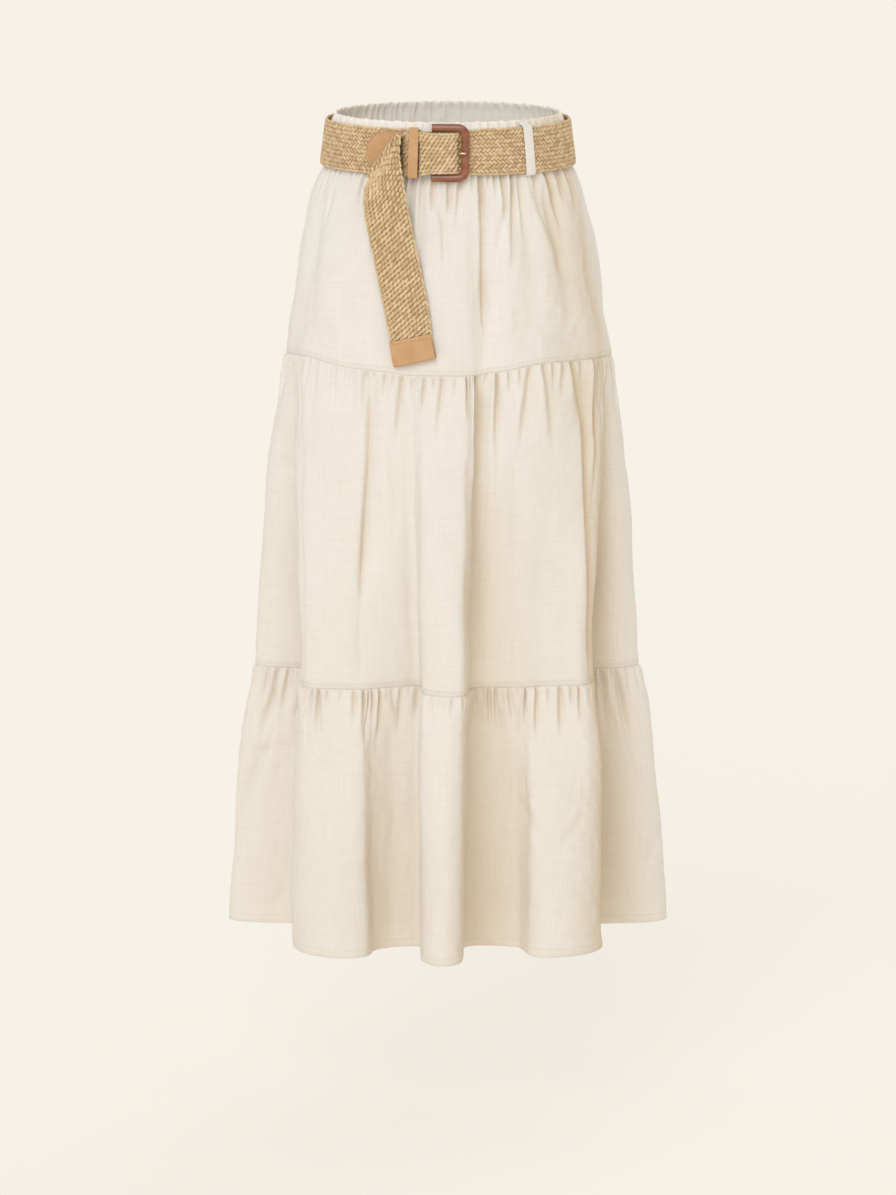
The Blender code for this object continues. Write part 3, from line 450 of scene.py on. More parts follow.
def creaseRelief(creases, plan, tall, facing):
    # each crease is a drawn line of x and z in millimetres, seen from the front or from behind
    relief = np.zeros(plan.shape[:2])
    x = plan[..., 0]
    (edgeOn, fullOn), (fromEnd, middle, steep) = crease["seen"], crease["taper"]
    ridgeShare, aside, ridgeWidth = crease["ridge"]
    for side, leftWidth, rightWidth, depth, line in creases:
        seen = np.clip((facing * (-1 if side == "front" else 1) - edgeOn) / fullOn, 0, 1)
        nearest = np.full(x.shape, 9.0)
        along = np.zeros(x.shape)
        rightOf = np.zeros(x.shape, bool)
        spots = np.array(line, float) / 1000
        parts = np.linalg.norm(np.diff(spots, axis=0), axis=1)
        total, run = parts.sum(), 0.0
        for a, b, part in zip(spots, spots[1:], parts):
            share = np.clip(((x - a[0]) * (b[0] - a[0]) + (tall - a[1]) * (b[1] - a[1])) / part**2, 0, 1)
            off = np.hypot(x - a[0] - share * (b[0] - a[0]), tall - a[1] - share * (b[1] - a[1]))
            closer = off < nearest
            turn = (b[0] - a[0]) * (tall - a[1]) - (b[1] - a[1]) * (x - a[0])
            rightOf = np.where(closer, turn > 0, rightOf)
            nearest = np.where(closer, off, nearest)
            along = np.where(closer, (run + share * part) / total, along)
            run += part
        taper = np.clip(np.sin(math.pi * (fromEnd + middle * along)) * steep, 0, 1)
        reach = np.where(rightOf, rightWidth, leftWidth) / 1000
        shape = np.exp(-((nearest / reach) ** crease["sharp"]))
        if leftWidth == rightWidth:
            shape -= ridgeShare * np.exp(-(((nearest - aside * reach) / (ridgeWidth * reach)) ** 2))
        relief -= depth / 1000 * seen * taper * shape
    return relief


def hollowsOf(surface, bearings):
    # how far the cloth on the left hides each place from the light, from 0 to 1, seen from the front or the
    # back; the mask of the painted shade
    ahead = -np.sign(np.cos(np.radians(bearings)))
    steepest = np.zeros(surface.shape[:2])
    for step in linen["hollowReach"]:
        beside = np.roll(surface, step, 1) - surface
        standing = np.degrees(np.arctan2(beside[..., 1] * ahead, np.maximum(beside[..., 0] * ahead, 0.0003)))
        steepest = np.maximum(steepest, standing)
    low, high = linen["hollowAngles"]
    facing = np.clip(np.abs(np.cos(np.radians(bearings))) / linen["hollowSides"], 0, 1)
    facing = facing * facing * (3 - 2 * facing)
    hidden = np.clip((steepest - low) / (high - low), 0, 1) * facing
    middle, beside = linen["hollowShare"]
    first, whole = linen["wings"]
    wing = np.clip((np.abs(np.sin(np.radians(bearings))) - first) / (whole - first), 0, 1)
    share = np.where(ahead < 0, middle + (beside - middle) * wing * hidden, linen["hollowBehind"])
    return hidden * share


crumpling = {"smallest": 0.35, "turned": 1.2, "sway": 0.8, "swayRuns": (6, 16)}


def crumple(cloth, girth, heights, shuffle, depth, widest, count):
    # many slanting waves, each with its own size and slant
    relief = np.zeros((len(heights), len(cloth)))
    for _ in range(count):
        size = shuffle.uniform(crumpling["smallest"], 1.0) * widest
        angle = shuffle.uniform(-crumpling["turned"], crumpling["turned"])
        turns = max(round(girth / size * math.cos(angle)), 1)
        climb = 2 * math.pi / size * math.sin(angle)
        start = shuffle.uniform(0, 2 * math.pi)
        sway = crumpling["sway"] * np.sin(heights * shuffle.uniform(*crumpling["swayRuns"]) + start)
        around = 2 * math.pi * turns * cloth[None, :] / girth
        relief += np.sin(around + (climb * heights + start + sway)[:, None])
    return relief * depth / math.sqrt(count)


clothWall = {
    "thickness": 0.0012, "tuck": 0.0013, "tuckHeight": 0.003, "innerRows": 3, "innerFine": 0.03,
    "seamRows": (0.004, 0.0022, 0.0008, -0.0006, -0.002),  # rows round a seam, against the tier's top
    "ownFrom": 0.0035, "carriedTo": 0.03, "puffTo": 0.012, "quietTo": (0.03, 0.25),
}
crumples = {"wander": (0.16, 9), "crumple": (0.03, 26)}  # the widest wave, and how many
softFolds = [  # bearing and half width in degrees, top, bottom, depth
    (12.0, 4.5, -0.03, -0.3, 0.004), (34.0, 5.0, -0.03, -0.17, 0.003),
    (51.0, 5.0, -0.03, -0.21, 0.004), (-38.0, 6.0, -0.03, -0.21, 0.003),
    (-68.0, 6.0, -0.04, -0.22, 0.004), (132.0, 6.0, -0.03, -0.22, 0.0045),
    (176.0, 5.0, -0.03, -0.25, 0.005), (222.0, 6.0, -0.03, -0.2, 0.0045),
]
# how far the cloth lifts the top seam at each bearing, in millimetres
seamLift = [
    (-90, 6), (-76, 9), (-60, 12), (-52, 9), (-41, 5), (-30, 4), (-20, 2), (-16, 0), (10, 0), (15, 2),
    (21, 4), (28, 7.5), (36, 10), (43, 10), (51, 8.5), (61, 8.5), (79, 6), (95, 3), (120, 7), (140, 3),
    (160, 6), (180, 2), (200, 6), (225, 3), (245, 7), (270, 6),
]
frill = {
    "foot": 0.0237, "up": 0.0005, "out": 0.0007,
    "waves": ((53, 1.6), (71, 1.8), (31, 2.2), (97, 2.6)),  # waves round the waist, and what divides each
    "outWaves": 61, "sway": (2.0, 7),
}
hem = {"width": 0.0085, "thick": 0.0005, "step": 0.0012}
tiers = {}


def clothHeights(tier, above):
    # rows stand closer near the top, with a few more where a tier is sewn under another
    top, bottom = tier["rings"][0][0], tier["rings"][-1][0]
    even = np.linspace(0, 1, tier["rows"])
    heights = top + (bottom - top) * (spacing["uneven"] * even**2 + spacing["even"] * even)
    if above:
        heights = np.concatenate([[top + step for step in clothWall["seamRows"]], heights[1:]])
    return heights


def sewnUnder(relief, above, bearings, below, overTop):
    # starts from the relief of the tier above
    carried = np.interp(bearings, above["bearings"], above["lastRelief"], period=360)
    own = np.clip(below / clothWall["ownFrom"], 0, 1)[:, None]
    later = np.exp(-below / clothWall["carriedTo"])[:, None]
    relief = relief * own + carried[None, :] * np.maximum(later, 1 - own)
    rise = clothWall["tuckHeight"]
    return relief - (clothWall["tuck"] * np.clip((overTop + rise) / rise, 0, 1))[:, None]


def frillWaves(cloth, girth):
    # how far the ruffle stands up and out, round the waist
    def around(count):
        return 2 * math.pi * count * cloth / girth

    up = sum(np.sin(around(count) + count) / share for count, share in frill["waves"])
    swing, swings = frill["sway"]
    return frill["up"] * up, frill["out"] * np.sin(around(frill["outWaves"]) + swing * np.sin(around(swings)))


def closedWall(plan, out, relief, tall, below):
    # outer face down, lower rim, inner face up with fewer rows, upper rim
    half = clothWall["thickness"] / 2
    outer, inner = (np.dstack([plan + out * (relief + way * half)[..., None], tall]) for way in (1, -1))
    middle = plan + out * relief[..., None]
    lowRim, highRim = (np.column_stack([middle[r], tall[r] + way * half]) for r, way in ((-1, -1), (0, 1)))
    last, fine, every = len(below) - 1, clothWall["innerFine"], clothWall["innerRows"]
    rows = [r for r in range(last, -1, -1) if below[r] < fine or (last - r) % every == 0 or r == 0]
    return outer, rows, np.array([*outer, lowRim, *inner[rows], highRim])


def makeTier(name, tier, *nodes):
    shuffle = np.random.default_rng(tier["seed"])
    top, bottom = tier["rings"][0][0], tier["rings"][-1][0]
    above = tiers.get(tier["hangsFrom"])
    heights = clothHeights(tier, above)
    below = np.clip(top - heights, 0, None)
    shape = throughRings(tier["rings"], heights)
    places, cloth, girth = columnPlaces(planTurns(*shape[-1]), tier["columns"])
    bearings = bearingsOf(places)
    plan = np.array([planCurve(planTurns(*row), places) for row in shape])
    ahead = unit(np.roll(plan, -1, 1) - np.roll(plan, 1, 1))
    out = np.stack([ahead[..., 1], -ahead[..., 0]], -1)
    lift = np.interp(bearings, *np.array(seamLift, float).T) / 1000
    lifted = np.clip((heights - tier["liftFrom"]) / (tier["liftFull"] - tier["liftFrom"]), 0, 1)
    tall = heights[:, None] + (3 * lifted**2 - 2 * lifted**3)[:, None] * lift[None, :]
    gathers = gatherList(tier, cloth, girth, plan[0, :, 0], out[0, :, 1], shuffle)
    relief = softRelief(softFolds, bearings, heights)
    relief += creaseRelief(tier["creases"], plan, tall, out[..., 1])
    reach, least = clothWall["quietTo"]
    quiet = np.clip(below / reach, least, 1)[:, None]
    for kind, (widest, count) in crumples.items():
        relief += crumple(cloth, girth, heights, shuffle, tier[kind], widest, count) * quiet
    relief += gatherRelief(tier, gathers, cloth, girth, below)
    puff = np.clip(below / clothWall["puffTo"], 0, None)
    relief += (tier["puff"] * puff * np.exp(1 - puff))[:, None]
    material = linenCloth
    if above:
        relief = sewnUnder(relief, above, bearings, below, heights - top)
    else:
        material = linenLitWaist
        loose = np.clip((heights - frill["foot"]) / (top - frill["foot"]), 0, 1)[:, None]
        up, aside = frillWaves(cloth, girth)
        tall = tall + loose * up[None, :]
        relief += loose * aside[None, :]
    if tier is bottomTier:
        relief += hem["thick"] * np.clip((bottom + hem["width"] - heights) / hem["step"], 0, 1)[:, None]
    outer, rows, rings = closedWall(plan, out, relief, tall, below)
    # painted shade of the folds, carried to the material in the tint map
    deep = hollowsOf(outer, bearings)
    hollows = np.array([*deep, deep[-1], *deep[rows], deep[0]])
    tiers[name] = {"surface": outer, "heights": heights, "bearings": bearings, "lastRelief": relief[-1]}
    piece = tubeMesh(name, rings, hollows, cloth, girth, material)
    dress(piece, "linen", *nodes)
    print(f"{name} made, {len(gathers)} gathers, cloth {girth:.3f} m round")


def tubeMesh(name, rings, hollows, cloth, girth, material):
    columns = rings.shape[1]
    quads = ringQuads(len(rings), columns, closed=True)
    run, column = np.append(cloth, girth), quads[:, 0] % columns
    u = np.stack([run[column], run[column], run[column + 1], run[column + 1]], -1)
    v = rings[..., 2].mean(1)[quads // columns]
    # the tint map's X holds the painted shade of the folds
    deep = hollows.ravel()[quads]
    tints = np.stack([deep, np.zeros_like(deep)], -1)
    return meshPiece(name, rings.reshape(-1, 3), quads, material, uvs=np.stack([u, v], -1), tints=tints)


waistband = {
    "rings": [(0.0292, 0.116, 0.0878, 0), (0.027, 0.1166, 0.0882, 0), (0.0237, 0.1184, 0.0894, 0),
              (0.005, 0.1222, 0.0922, 0), (-0.015, 0.1248, 0.0939, 0)],
    "columns": 1000, "rows": 22, "seed": 3,
    "frontGathers": [],
    "gatherGap": 0.0085, "gatherLength": 0.06, "longShare": 0.0,
    "gatherWidth": 0.0016, "gatherDepth": 0.0017,
    "puff": 0.0, "wander": 0.0006, "crumple": 0.0002, "creases": [],
    "liftFrom": -1.0, "liftFull": -1.1,
    "cut": 0.95, "hangsFrom": "braidUnderlay",
}
topTier = {
    "rings": [(-0.0153, 0.1248, 0.0939, 0), (-0.0237, 0.126, 0.0946, 0), (-0.032, 0.1304, 0.0965, 0),
              (-0.045, 0.136, 0.0985, 0), (-0.0624, 0.1408, 0.101, 0), (-0.095, 0.1488, 0.1058, 0.01),
              (-0.14, 0.157, 0.1096, 0.02), (-0.185, 0.163, 0.1118, 0.04), (-0.2271, 0.1678, 0.1135, 0.06)],
    "columns": 1090, "rows": 54, "seed": 5,
    "frontGathers": [  # x of the gather below the belt, strength, length, sideways shift, in millimetres
        (-118, 0.8, 50, -6), (-98, 1.1, 45, 0), (-82, 0.7, 60, -3), (-36, 1.0, 70, 2), (-26, 0.9, 110, 3),
        (-15, 1.1, 60, 2), (-1, 1.2, 75, 6), (12, 1.3, 75, -7), (24, 0.7, 30, 0), (31, 1.2, 60, 2),
        (40, 0.7, 40, 0), (47, 1.1, 40, -3), (53, 1.2, 75, 1), (64, 1.4, 120, -17), (71, 1.0, 45, -3),
        (84, 0.8, 50, 2), (95, 1.4, 90, 17), (106, 0.8, 50, 3), (115, 1.1, 60, 3), (122, 0.9, 70, 4),
    ],
    "gatherGap": 0.0115, "gatherLength": 0.045, "longShare": 0.25,
    "gatherWidth": 0.002, "gatherDepth": 0.004,
    "puff": 0.0004, "wander": 0.0013, "crumple": 0.00024,
    "creases": [  # side, width on the left and on the right, depth, then the line
        ("front", 2.4, 9, 7.0, [(31, -26), (34, -45), (36, -80), (36, -129), (37, -175)]),
        ("front", 7, 14, 2.6, [(37, -130), (38, -185), (38, -226)]),
        ("front", 3, 5, 3.2, [(-17, -40), (-9, -60), (-5, -74), (-4, -112)]),
        ("front", 4, 3, 2.6, [(6, -40), (-1, -60), (-5, -74)]),
        ("front", 5, 8, 3.4, [(63, -42), (55, -76), (49, -110), (47, -150)]),
        ("front", 3, 7, 3.4, [(84, -30), (92, -56), (101, -78), (112, -104)]),
        ("front", 4, 7, 3.0, [(99, -44), (104, -68), (112, -90), (118, -130)]),
        ("front", 4, 9, 3.6, [(134, -26), (140, -55), (144, -95), (147, -150)]),
        ("front", 8, 6, 2.8, [(-131, -24), (-137, -54), (-140, -98), (-140, -190)]),
        ("front", 9, 7, 2.0, [(-96, -40), (-104, -150), (-100, -215)]),
        ("front", 9, 9, 1.4, [(82, -60), (84, -140), (80, -215)]),
        ("back", 3, 9, 5.0, [(-40, -31), (-46, -110), (-44, -215)]),
        ("back", 4, 7, 3.0, [(12, -31), (16, -140)]),
        ("back", 3, 8, 4.0, [(58, -34), (66, -120)]),
        ("back", 8, 4, 3.0, [(-92, -34), (-104, -150)]),
    ],
    "liftFrom": -0.15, "liftFull": -0.224,
    "cut": 1.0, "hangsFrom": "clothWaistband",
}
middleTier = {
    "rings": [(-0.2274, 0.1678, 0.1135, 0.06), (-0.235, 0.1695, 0.1147, 0.08), (-0.248, 0.1722, 0.1162, 0.11),
              (-0.265, 0.1748, 0.1174, 0.16), (-0.295, 0.18, 0.1186, 0.26), (-0.34, 0.1862, 0.1193, 0.44),
              (-0.4, 0.1922, 0.1194, 0.68), (-0.48, 0.197, 0.1187, 0.9), (-0.5557, 0.2014, 0.118, 1)],
    "columns": 1160, "rows": 52, "seed": 11,
    "frontGathers": [
        (-164, 0.8, 30, 0), (-158, 1.0, 30, -3), (-149, 1.0, 70, -2), (-142, 0.9, 35, -2),
        (-136, 1.1, 70, -2), (-126, 0.6, 25, 1), (-117, 0.9, 50, -2), (-107, 0.6, 20, 0),
        (-99, 0.9, 35, 1), (-85, 1.1, 60, 1),
        (-76, 0.9, 30, -1), (-64, 1.0, 35, 0), (-55, 1.0, 45, -1), (-47, 1.5, 90, -6), (-36, 0.6, 25, 0),
        (-24, 1.0, 50, -6), (-14, 0.6, 20, 0), (-5, 1.1, 75, -6), (8, 0.6, 25, 0), (19, 1.0, 50, 4),
        (28, 1.4, 80, -1), (39, 0.7, 25, 0), (50, 1.4, 90, -1), (62, 0.7, 25, 0), (74, 0.7, 25, 0),
        (84, 1.2, 85, -12), (98, 1.3, 85, 9), (108, 1.0, 35, 0), (119, 1.0, 35, -6), (128, 1.0, 60, 5),
        (138, 0.8, 40, 2), (150, 1.5, 150, 3), (160, 1.0, 35, 1),
    ],
    "gatherGap": 0.0135, "gatherLength": 0.032, "longShare": 0.25,
    "gatherWidth": 0.0021, "gatherDepth": 0.004,
    "puff": 0.0012, "wander": 0.0014, "crumple": 0.00026,
    "creases": [
        ("front", 8, 2.2, 4.0, [(-149, -222), (-153, -240), (-152, -302), (-152, -389), (-150, -546)]),
        ("front", 2.4, 12, 7.5, [(-84, -230), (-82, -245), (-82, -317), (-87, -390), (-91, -450)]),
        ("front", 6, 14, 4.0, [(-89, -400), (-92, -500), (-90, -550)]),
        ("front", 8, 10, 2.2, [(-46, -250), (-42, -380), (-36, -546)]),
        ("front", 4, 6, 2.0, [(-62, -240), (-60, -300), (-52, -380)]),
        ("front", 2.0, 10, 9.5, [(29, -230), (31, -255), (30, -316), (28, -378), (27, -450), (24, -520)]),
        ("front", 4, 7, 2.2, [(49, -236), (50, -300), (52, -360)]),
        ("front", 8, 10, 2.0, [(68, -300), (70, -550)]),
        ("front", 2.4, 12, 7.5,
         [(129, -222), (136, -248), (141, -285), (145, -384), (148, -470), (149, -548)]),
        ("front", 2.5, 6, 3.6, [(152, -223), (156, -252), (155, -300)]),
        ("front", 6, 6, 1.6, [(-183, -344), (-162, -334)]),
        ("back", 2.5, 10, 6.0, [(-70, -235), (-72, -420)]),
        ("back", 2.2, 10, 6.0, [(20, -235), (24, -470)]),
        ("back", 9, 3, 5.0, [(96, -240), (106, -430)]),
        ("back", 3, 9, 5.0, [(-130, -240), (-142, -420)]),
    ],
    "liftFrom": -0.3, "liftFull": -0.23,
    "cut": 1.35, "hangsFrom": "clothTop",
}
bottomTier = {
    "rings": [(-0.556, 0.2014, 0.118, 1), (-0.565, 0.2028, 0.118, 1.04), (-0.58, 0.2056, 0.119, 1.12),
              (-0.6, 0.2104, 0.12, 1.22), (-0.635, 0.2166, 0.1215, 1.38), (-0.685, 0.2216, 0.123, 1.56),
              (-0.74, 0.2257, 0.124, 1.74), (-0.79, 0.2285, 0.1245, 1.88), (-0.8344, 0.2304, 0.125, 2)],
    "columns": 1190, "rows": 50, "seed": 17,
    "frontGathers": [
        (-202, 0.8, 25, 2), (-195, 1.1, 40, -2), (-188, 1.0, 60, 2), (-178, 1.6, 90, -9), (-167, 1.0, 45, -2),
        (-146, 0.9, 35, 0), (-140, 1.3, 60, -4), (-134, 1.2, 50, 0), (-124, 0.8, 25, 0), (-111, 0.5, 20, 0),
        (-97, 1.0, 45, 2), (-87, 1.3, 60, 3), (-79, 1.0, 35, -1), (-71, 1.0, 60, -4), (-62, 0.6, 20, 0),
        (-57, 0.8, 45, 3), (-48, 1.0, 60, -3), (-40, 0.6, 20, 0), (-31, 1.0, 45, -1), (-19, 1.0, 40, 1),
        (-8, 0.9, 25, 0), (4, 0.8, 25, 0), (15, 0.6, 20, 0), (27, 1.1, 40, 2), (41, 1.2, 60, 4),
        (49, 1.3, 70, 2), (63, 1.1, 55, 6), (72, 0.6, 20, 0), (80, 1.2, 50, -8), (92, 1.1, 60, -4),
        (104, 0.6, 25, 0), (116, 1.3, 60, -3), (127, 0.9, 30, 0), (136, 1.1, 45, -2), (146, 0.8, 30, 0),
        (160, 1.2, 80, -2), (170, 0.9, 50, 1), (175, 1.3, 100, 5), (187, 1.0, 45, 1), (196, 0.9, 40, 2),
    ],
    "gatherGap": 0.0145, "gatherLength": 0.032, "longShare": 0.25,
    "gatherWidth": 0.0022, "gatherDepth": 0.0042,
    "puff": 0.0014, "wander": 0.0013, "crumple": 0.00028,
    "creases": [
        ("front", 4, 4, 2.6, [(-188, -560), (-186, -585), (-189, -610)]),
        ("front", 7, 3, 6.0, [(-186, -636), (-202, -673), (-221, -712)]),
        ("front", 4, 4, 2.4, [(-218, -649), (-190, -648), (-164, -641)]),
        ("front", 4, 4, 2.2, [(-168, -798), (-181, -809), (-192, -822)]),
        ("front", 3, 6, 4.6, [(-135, -556), (-136, -580), (-134, -603), (-123, -618), (-94, -633)]),
        ("front", 3, 3, 2.2, [(-158, -626), (-124, -629), (-97, -629)]),
        ("front", 4, 4, 2.4, [(-157, -604), (-136, -612), (-112, -632)]),
        ("front", 5, 7, 2.4, [(75, -678), (90, -703), (121, -732)]),
        ("front", 4, 4, 1.6, [(142, -689), (115, -722)]),
        ("front", 3, 6, 3.6, [(175, -566), (180, -602), (200, -665)]),
        ("front", 4, 4, 2.2, [(224, -734), (209, -772)]),
        ("front", 9, 12, 2.4, [(-60, -580), (-56, -700), (-60, -820)]),
        ("front", 9, 9, 2.0, [(52, -590), (50, -720), (46, -820)]),
        ("front", 4, 4, 1.4, [(-70, -770), (-52, -790), (-36, -788)]),
        ("front", 4, 4, 1.4, [(-118, -700), (-90, -716)]),
        ("back", 5, 5, 3.0, [(-150, -600), (-128, -660)]),
        ("back", 4, 4, 2.6, [(70, -610), (96, -668)]),
        ("back", 4, 4, 2.2, [(-60, -700), (-84, -748)]),
        ("back", 5, 5, 3.0, [(168, -570), (190, -640)]),
        ("back", 4, 4, 2.0, [(20, -640), (-14, -668), (-30, -700)]),
    ],
    "liftFrom": -2.0, "liftFull": -2.1,
    "cut": 1.85, "hangsFrom": "clothMiddle",
}
makeTier("clothWaistband", waistband, "waistband_front", "waistband_back")
makeTier("clothTop", topTier, "top_tier_front", "top_tier_back")
makeTier("clothMiddle", middleTier, "middle_tier_front", "middle_tier_back")
makeTier("clothBottom", bottomTier, "bottom_tier_front", "bottom_tier_back")


# many small closed grains: stitches and straw
def grainMesh(name, centres, alongs, acrosses, outs, sizes, material, sides=8, rings=4, tints=None):
    # sizes holds half length, half width and half height of each grain
    slope = np.linspace(-1, 1, rings + 2)[1:-1]
    body = [(u, a) for u in slope for a in np.arange(sides) / sides * 2 * math.pi]
    shape = []
    for u, a in body:
        girthHere = (1 - abs(u) ** 2.4) ** 0.5
        shape.append((u, girthHere * math.cos(a), girthHere * math.sin(a)))
    shape += [(-1, 0, 0), (1, 0, 0)]
    shape = np.array(shape)
    quads, caps = ringQuads(rings, sides, flipped=True), []
    low, high, last = len(body), len(body) + 1, (rings - 1) * sides
    for s in range(sides):
        t = (s + 1) % sides
        caps += [(low, t, s), (high, last + s, last + t)]
    caps = np.array(caps)
    local = shape[None] * sizes[:, None, :]
    points = centres[:, None] + local[..., :1] * alongs[:, None] + local[..., 1:2] * acrosses[:, None]
    points = points + local[..., 2:] * outs[:, None]
    step = np.arange(len(centres))[:, None, None] * len(shape)
    allQuads = (quads[None] + step).reshape(-1, 4)
    allCaps = (caps[None] + step).reshape(-1, 3)
    uvs = tintUvs = None
    if tints is not None:
        lengthways = local[..., 0] + np.arange(len(centres))[:, None] * 0.0131
        around = np.concatenate([np.arange(len(body)) % sides / sides, [0.5, 0.5]]) * 0.008
        uv = np.stack([lengthways, np.broadcast_to(around, lengthways.shape)], -1).reshape(-1, 2)
        order = np.concatenate([allQuads.ravel(), allCaps.ravel()])
        uvs = uv[order]
        tintUvs = np.repeat(tints, len(shape), 0)[order]
    return meshPiece(name, points.reshape(-1, 3), allQuads, material, allCaps, uvs, tintUvs)


def alongLine(points, pitch, closed=True):
    # even places on a line, with its direction there
    line = np.vstack([points, points[:1]]) if closed else points
    run = runOf(line)
    count = int(run[-1] / pitch)
    wanted = (np.arange(count) + 0.5) * run[-1] / count
    ahead, behind = (onLine(wanted + step, run, line) for step in (pitch / 4, -pitch / 4))
    return onLine(wanted, run, line), unit(ahead - behind)


def stitchGrains(name, at, along, out, kind, material, slot):
    sizes = np.tile((kind["length"] / 2, kind["thick"], kind["thick"]), (len(at), 1))
    across = np.cross(out, along)
    piece = grainMesh(name, at + out * kind["proud"], along, across, out, sizes, material, *kind["facets"])
    dress(piece, slot)
    print(name, "made,", len(at), "stitches")


clothStitch = {
    "pitch": 0.0031, "length": 0.0023, "thick": 0.00026, "proud": 0.0001, "facets": (5, 2),
    "seam": 0.0042, "hem": 0.0078,  # height of the row above the tier's lower edge
}


def stitchRow(name, tierName, aboveEdge):
    tier = tiers[tierName]
    level = tier["heights"]
    height = level[-1] + aboveEdge
    row = int(np.argmin(np.abs(level - height)))
    other = row + 1 if level[row] > height and row + 1 < len(level) else row - 1
    share = (height - level[row]) / (level[other] - level[row])
    line = tier["surface"][row] * (1 - share) + tier["surface"][other] * share
    at, along = alongLine(line, clothStitch["pitch"])
    stitchGrains(name, at, along, unit(np.cross(along, (0, 0, 1))), clothStitch, linenThread, "linen")


stitchRow("stitchesTopSeam", "clothTop", clothStitch["seam"])
stitchRow("stitchesMiddleSeam", "clothMiddle", clothStitch["seam"])
stitchRow("stitchesHem", "clothBottom", clothStitch["hem"])


# belt
belt = {
    "half": 0.0237, "thick": 0.0036, "step": 0.0008,
    # half width and half depth, and how they change with height
    "waist": (0.126, 0.0955), "slope": (-0.1266, -0.0844),
    # x, how far out and half width, from the inner end round the left side
    "start": [(-0.0262, 0.0036, 0.0225), (-0.03, 0.0036, 0.023), (-0.041, 0.0036, 0.0237),
              (-0.054, 0.003, 0.0237), (-0.068, 0.0023, 0.0237)],
    "round": (-42.0, -333.0, 36, 0.0021),  # first and last bearing, steps, how far out
    "end": [(0.042, 0.0021, 0.0237), (0.028, 0.0021, 0.0232), (0.0205, 0.0021, 0.022),
            (0.0142, 0.0022, 0.0208), (0.0119, 0.0037, 0.0205), (0.0094, 0.0065, 0.0205),
            (0.0062, 0.0087, 0.0205), (0.0, 0.0098, 0.0205), (-0.009, 0.0105, 0.0205),
            (-0.018, 0.0109, 0.0208), (-0.025, 0.0101, 0.022), (-0.03, 0.0091, 0.0225),
            (-0.041, 0.009, 0.0228)],
    "foldLow": (-0.0775, -0.028), "foldHigh": (-0.0452, 0.0175), "foldOut": 0.0096, "foldRadius": 0.0044,
    "tailFrom": (-0.0285, 0.016),  # height where the tail leaves the fold, and how much earlier it starts
    # the tail's left and right edge, downward
    "tail": [(-0.0846, -0.0955, -0.036, -0.049, -0.1055, 0.003),
             (-0.0862, -0.0952, -0.046, -0.0474, -0.1062, -0.013),
             (-0.0862, -0.0952, -0.058, -0.044, -0.107, -0.034),
             (-0.0842, -0.096, -0.0705, -0.0402, -0.108, -0.055),
             (-0.08, -0.098, -0.09, -0.0355, -0.1095, -0.078),
             (-0.0747, -0.101, -0.116, -0.03, -0.1115, -0.1045),
             (-0.0695, -0.104, -0.141, -0.0247, -0.1135, -0.13),
             (-0.0638, -0.1072, -0.168, -0.0195, -0.1155, -0.158),
             (-0.06, -0.1088, -0.186, -0.0171, -0.1168, -0.1765),
             (-0.0543, -0.1114, -0.2169, -0.0137, -0.1189, -0.2069)],
}
braid = {
    "rows": 10, "rowsHalf": 0.0212, "pitch": 0.0045, "slant": 37.0,
    "grain": (0.0036, 0.00155, 0.00085), "sunk": 0.001, "inset": 0.0012, "seed": 23,
    "edge": (0.0046, 0.0014, 0.0012), "edgePitch": 0.0058, "edgeAt": 0.945, "edgeTilt": 9.0,
    "light": (0.77, 0.6, 0.38), "mid": (0.68, 0.5, 0.295), "dark": (0.53, 0.36, 0.19),
    "toneShares": (0.5, 0.52), "toneStops": (0.18, 0.5, 0.8),  # the grain's own tone and its fibre's
    # painted shade: the under colour darkens the crevices between the grains
    "under": (0.3, 0.185, 0.085), "underGrain": 420.0, "underDepth": 0.0006,
    "twill": {1: (37.0, 0.0045), -1: (42.0, 0.0049)},  # slant and pitch on the outer face and on the tail
    "twillFrom": 0.01,  # x where the outer face turns to twill, inside the buckle
    "overFold": 0.05,  # how far the outer face's twill goes on past the tail's start
    "endGap": 0.002, "shifts": (0.00022, 0.008), "turned": 2.5,  # bare ends, and how much grains stray
    "varied": (0.07, 0.82, 1.15), "higher": (0.9, 1.0), "below": 0.00005,
    "fibre": (260, 5200), "fibreDepth": 0.00022, "rough": 0.72,
    "shade": (-0.056, -0.0405), "shadeFade": 0.45,  # x of the space between the tail and the keeper, where the grains get painted shade, and how fast it fades
    # colour of that painted shade
    "paintedShadeTone": (0.16, 0.1, 0.06),
}


def beltPoint(bearing, out, z):
    angle = math.radians(bearing)
    wide = belt["waist"][0] + belt["slope"][0] * z + out
    deep = belt["waist"][1] + belt["slope"][1] * z + out
    return np.array((wide * math.sin(angle), -deep * math.cos(angle), z))


def bearingAt(x, out, z=0.0):
    return math.degrees(math.asin(x / (belt["waist"][0] + belt["slope"][0] * z + out)))


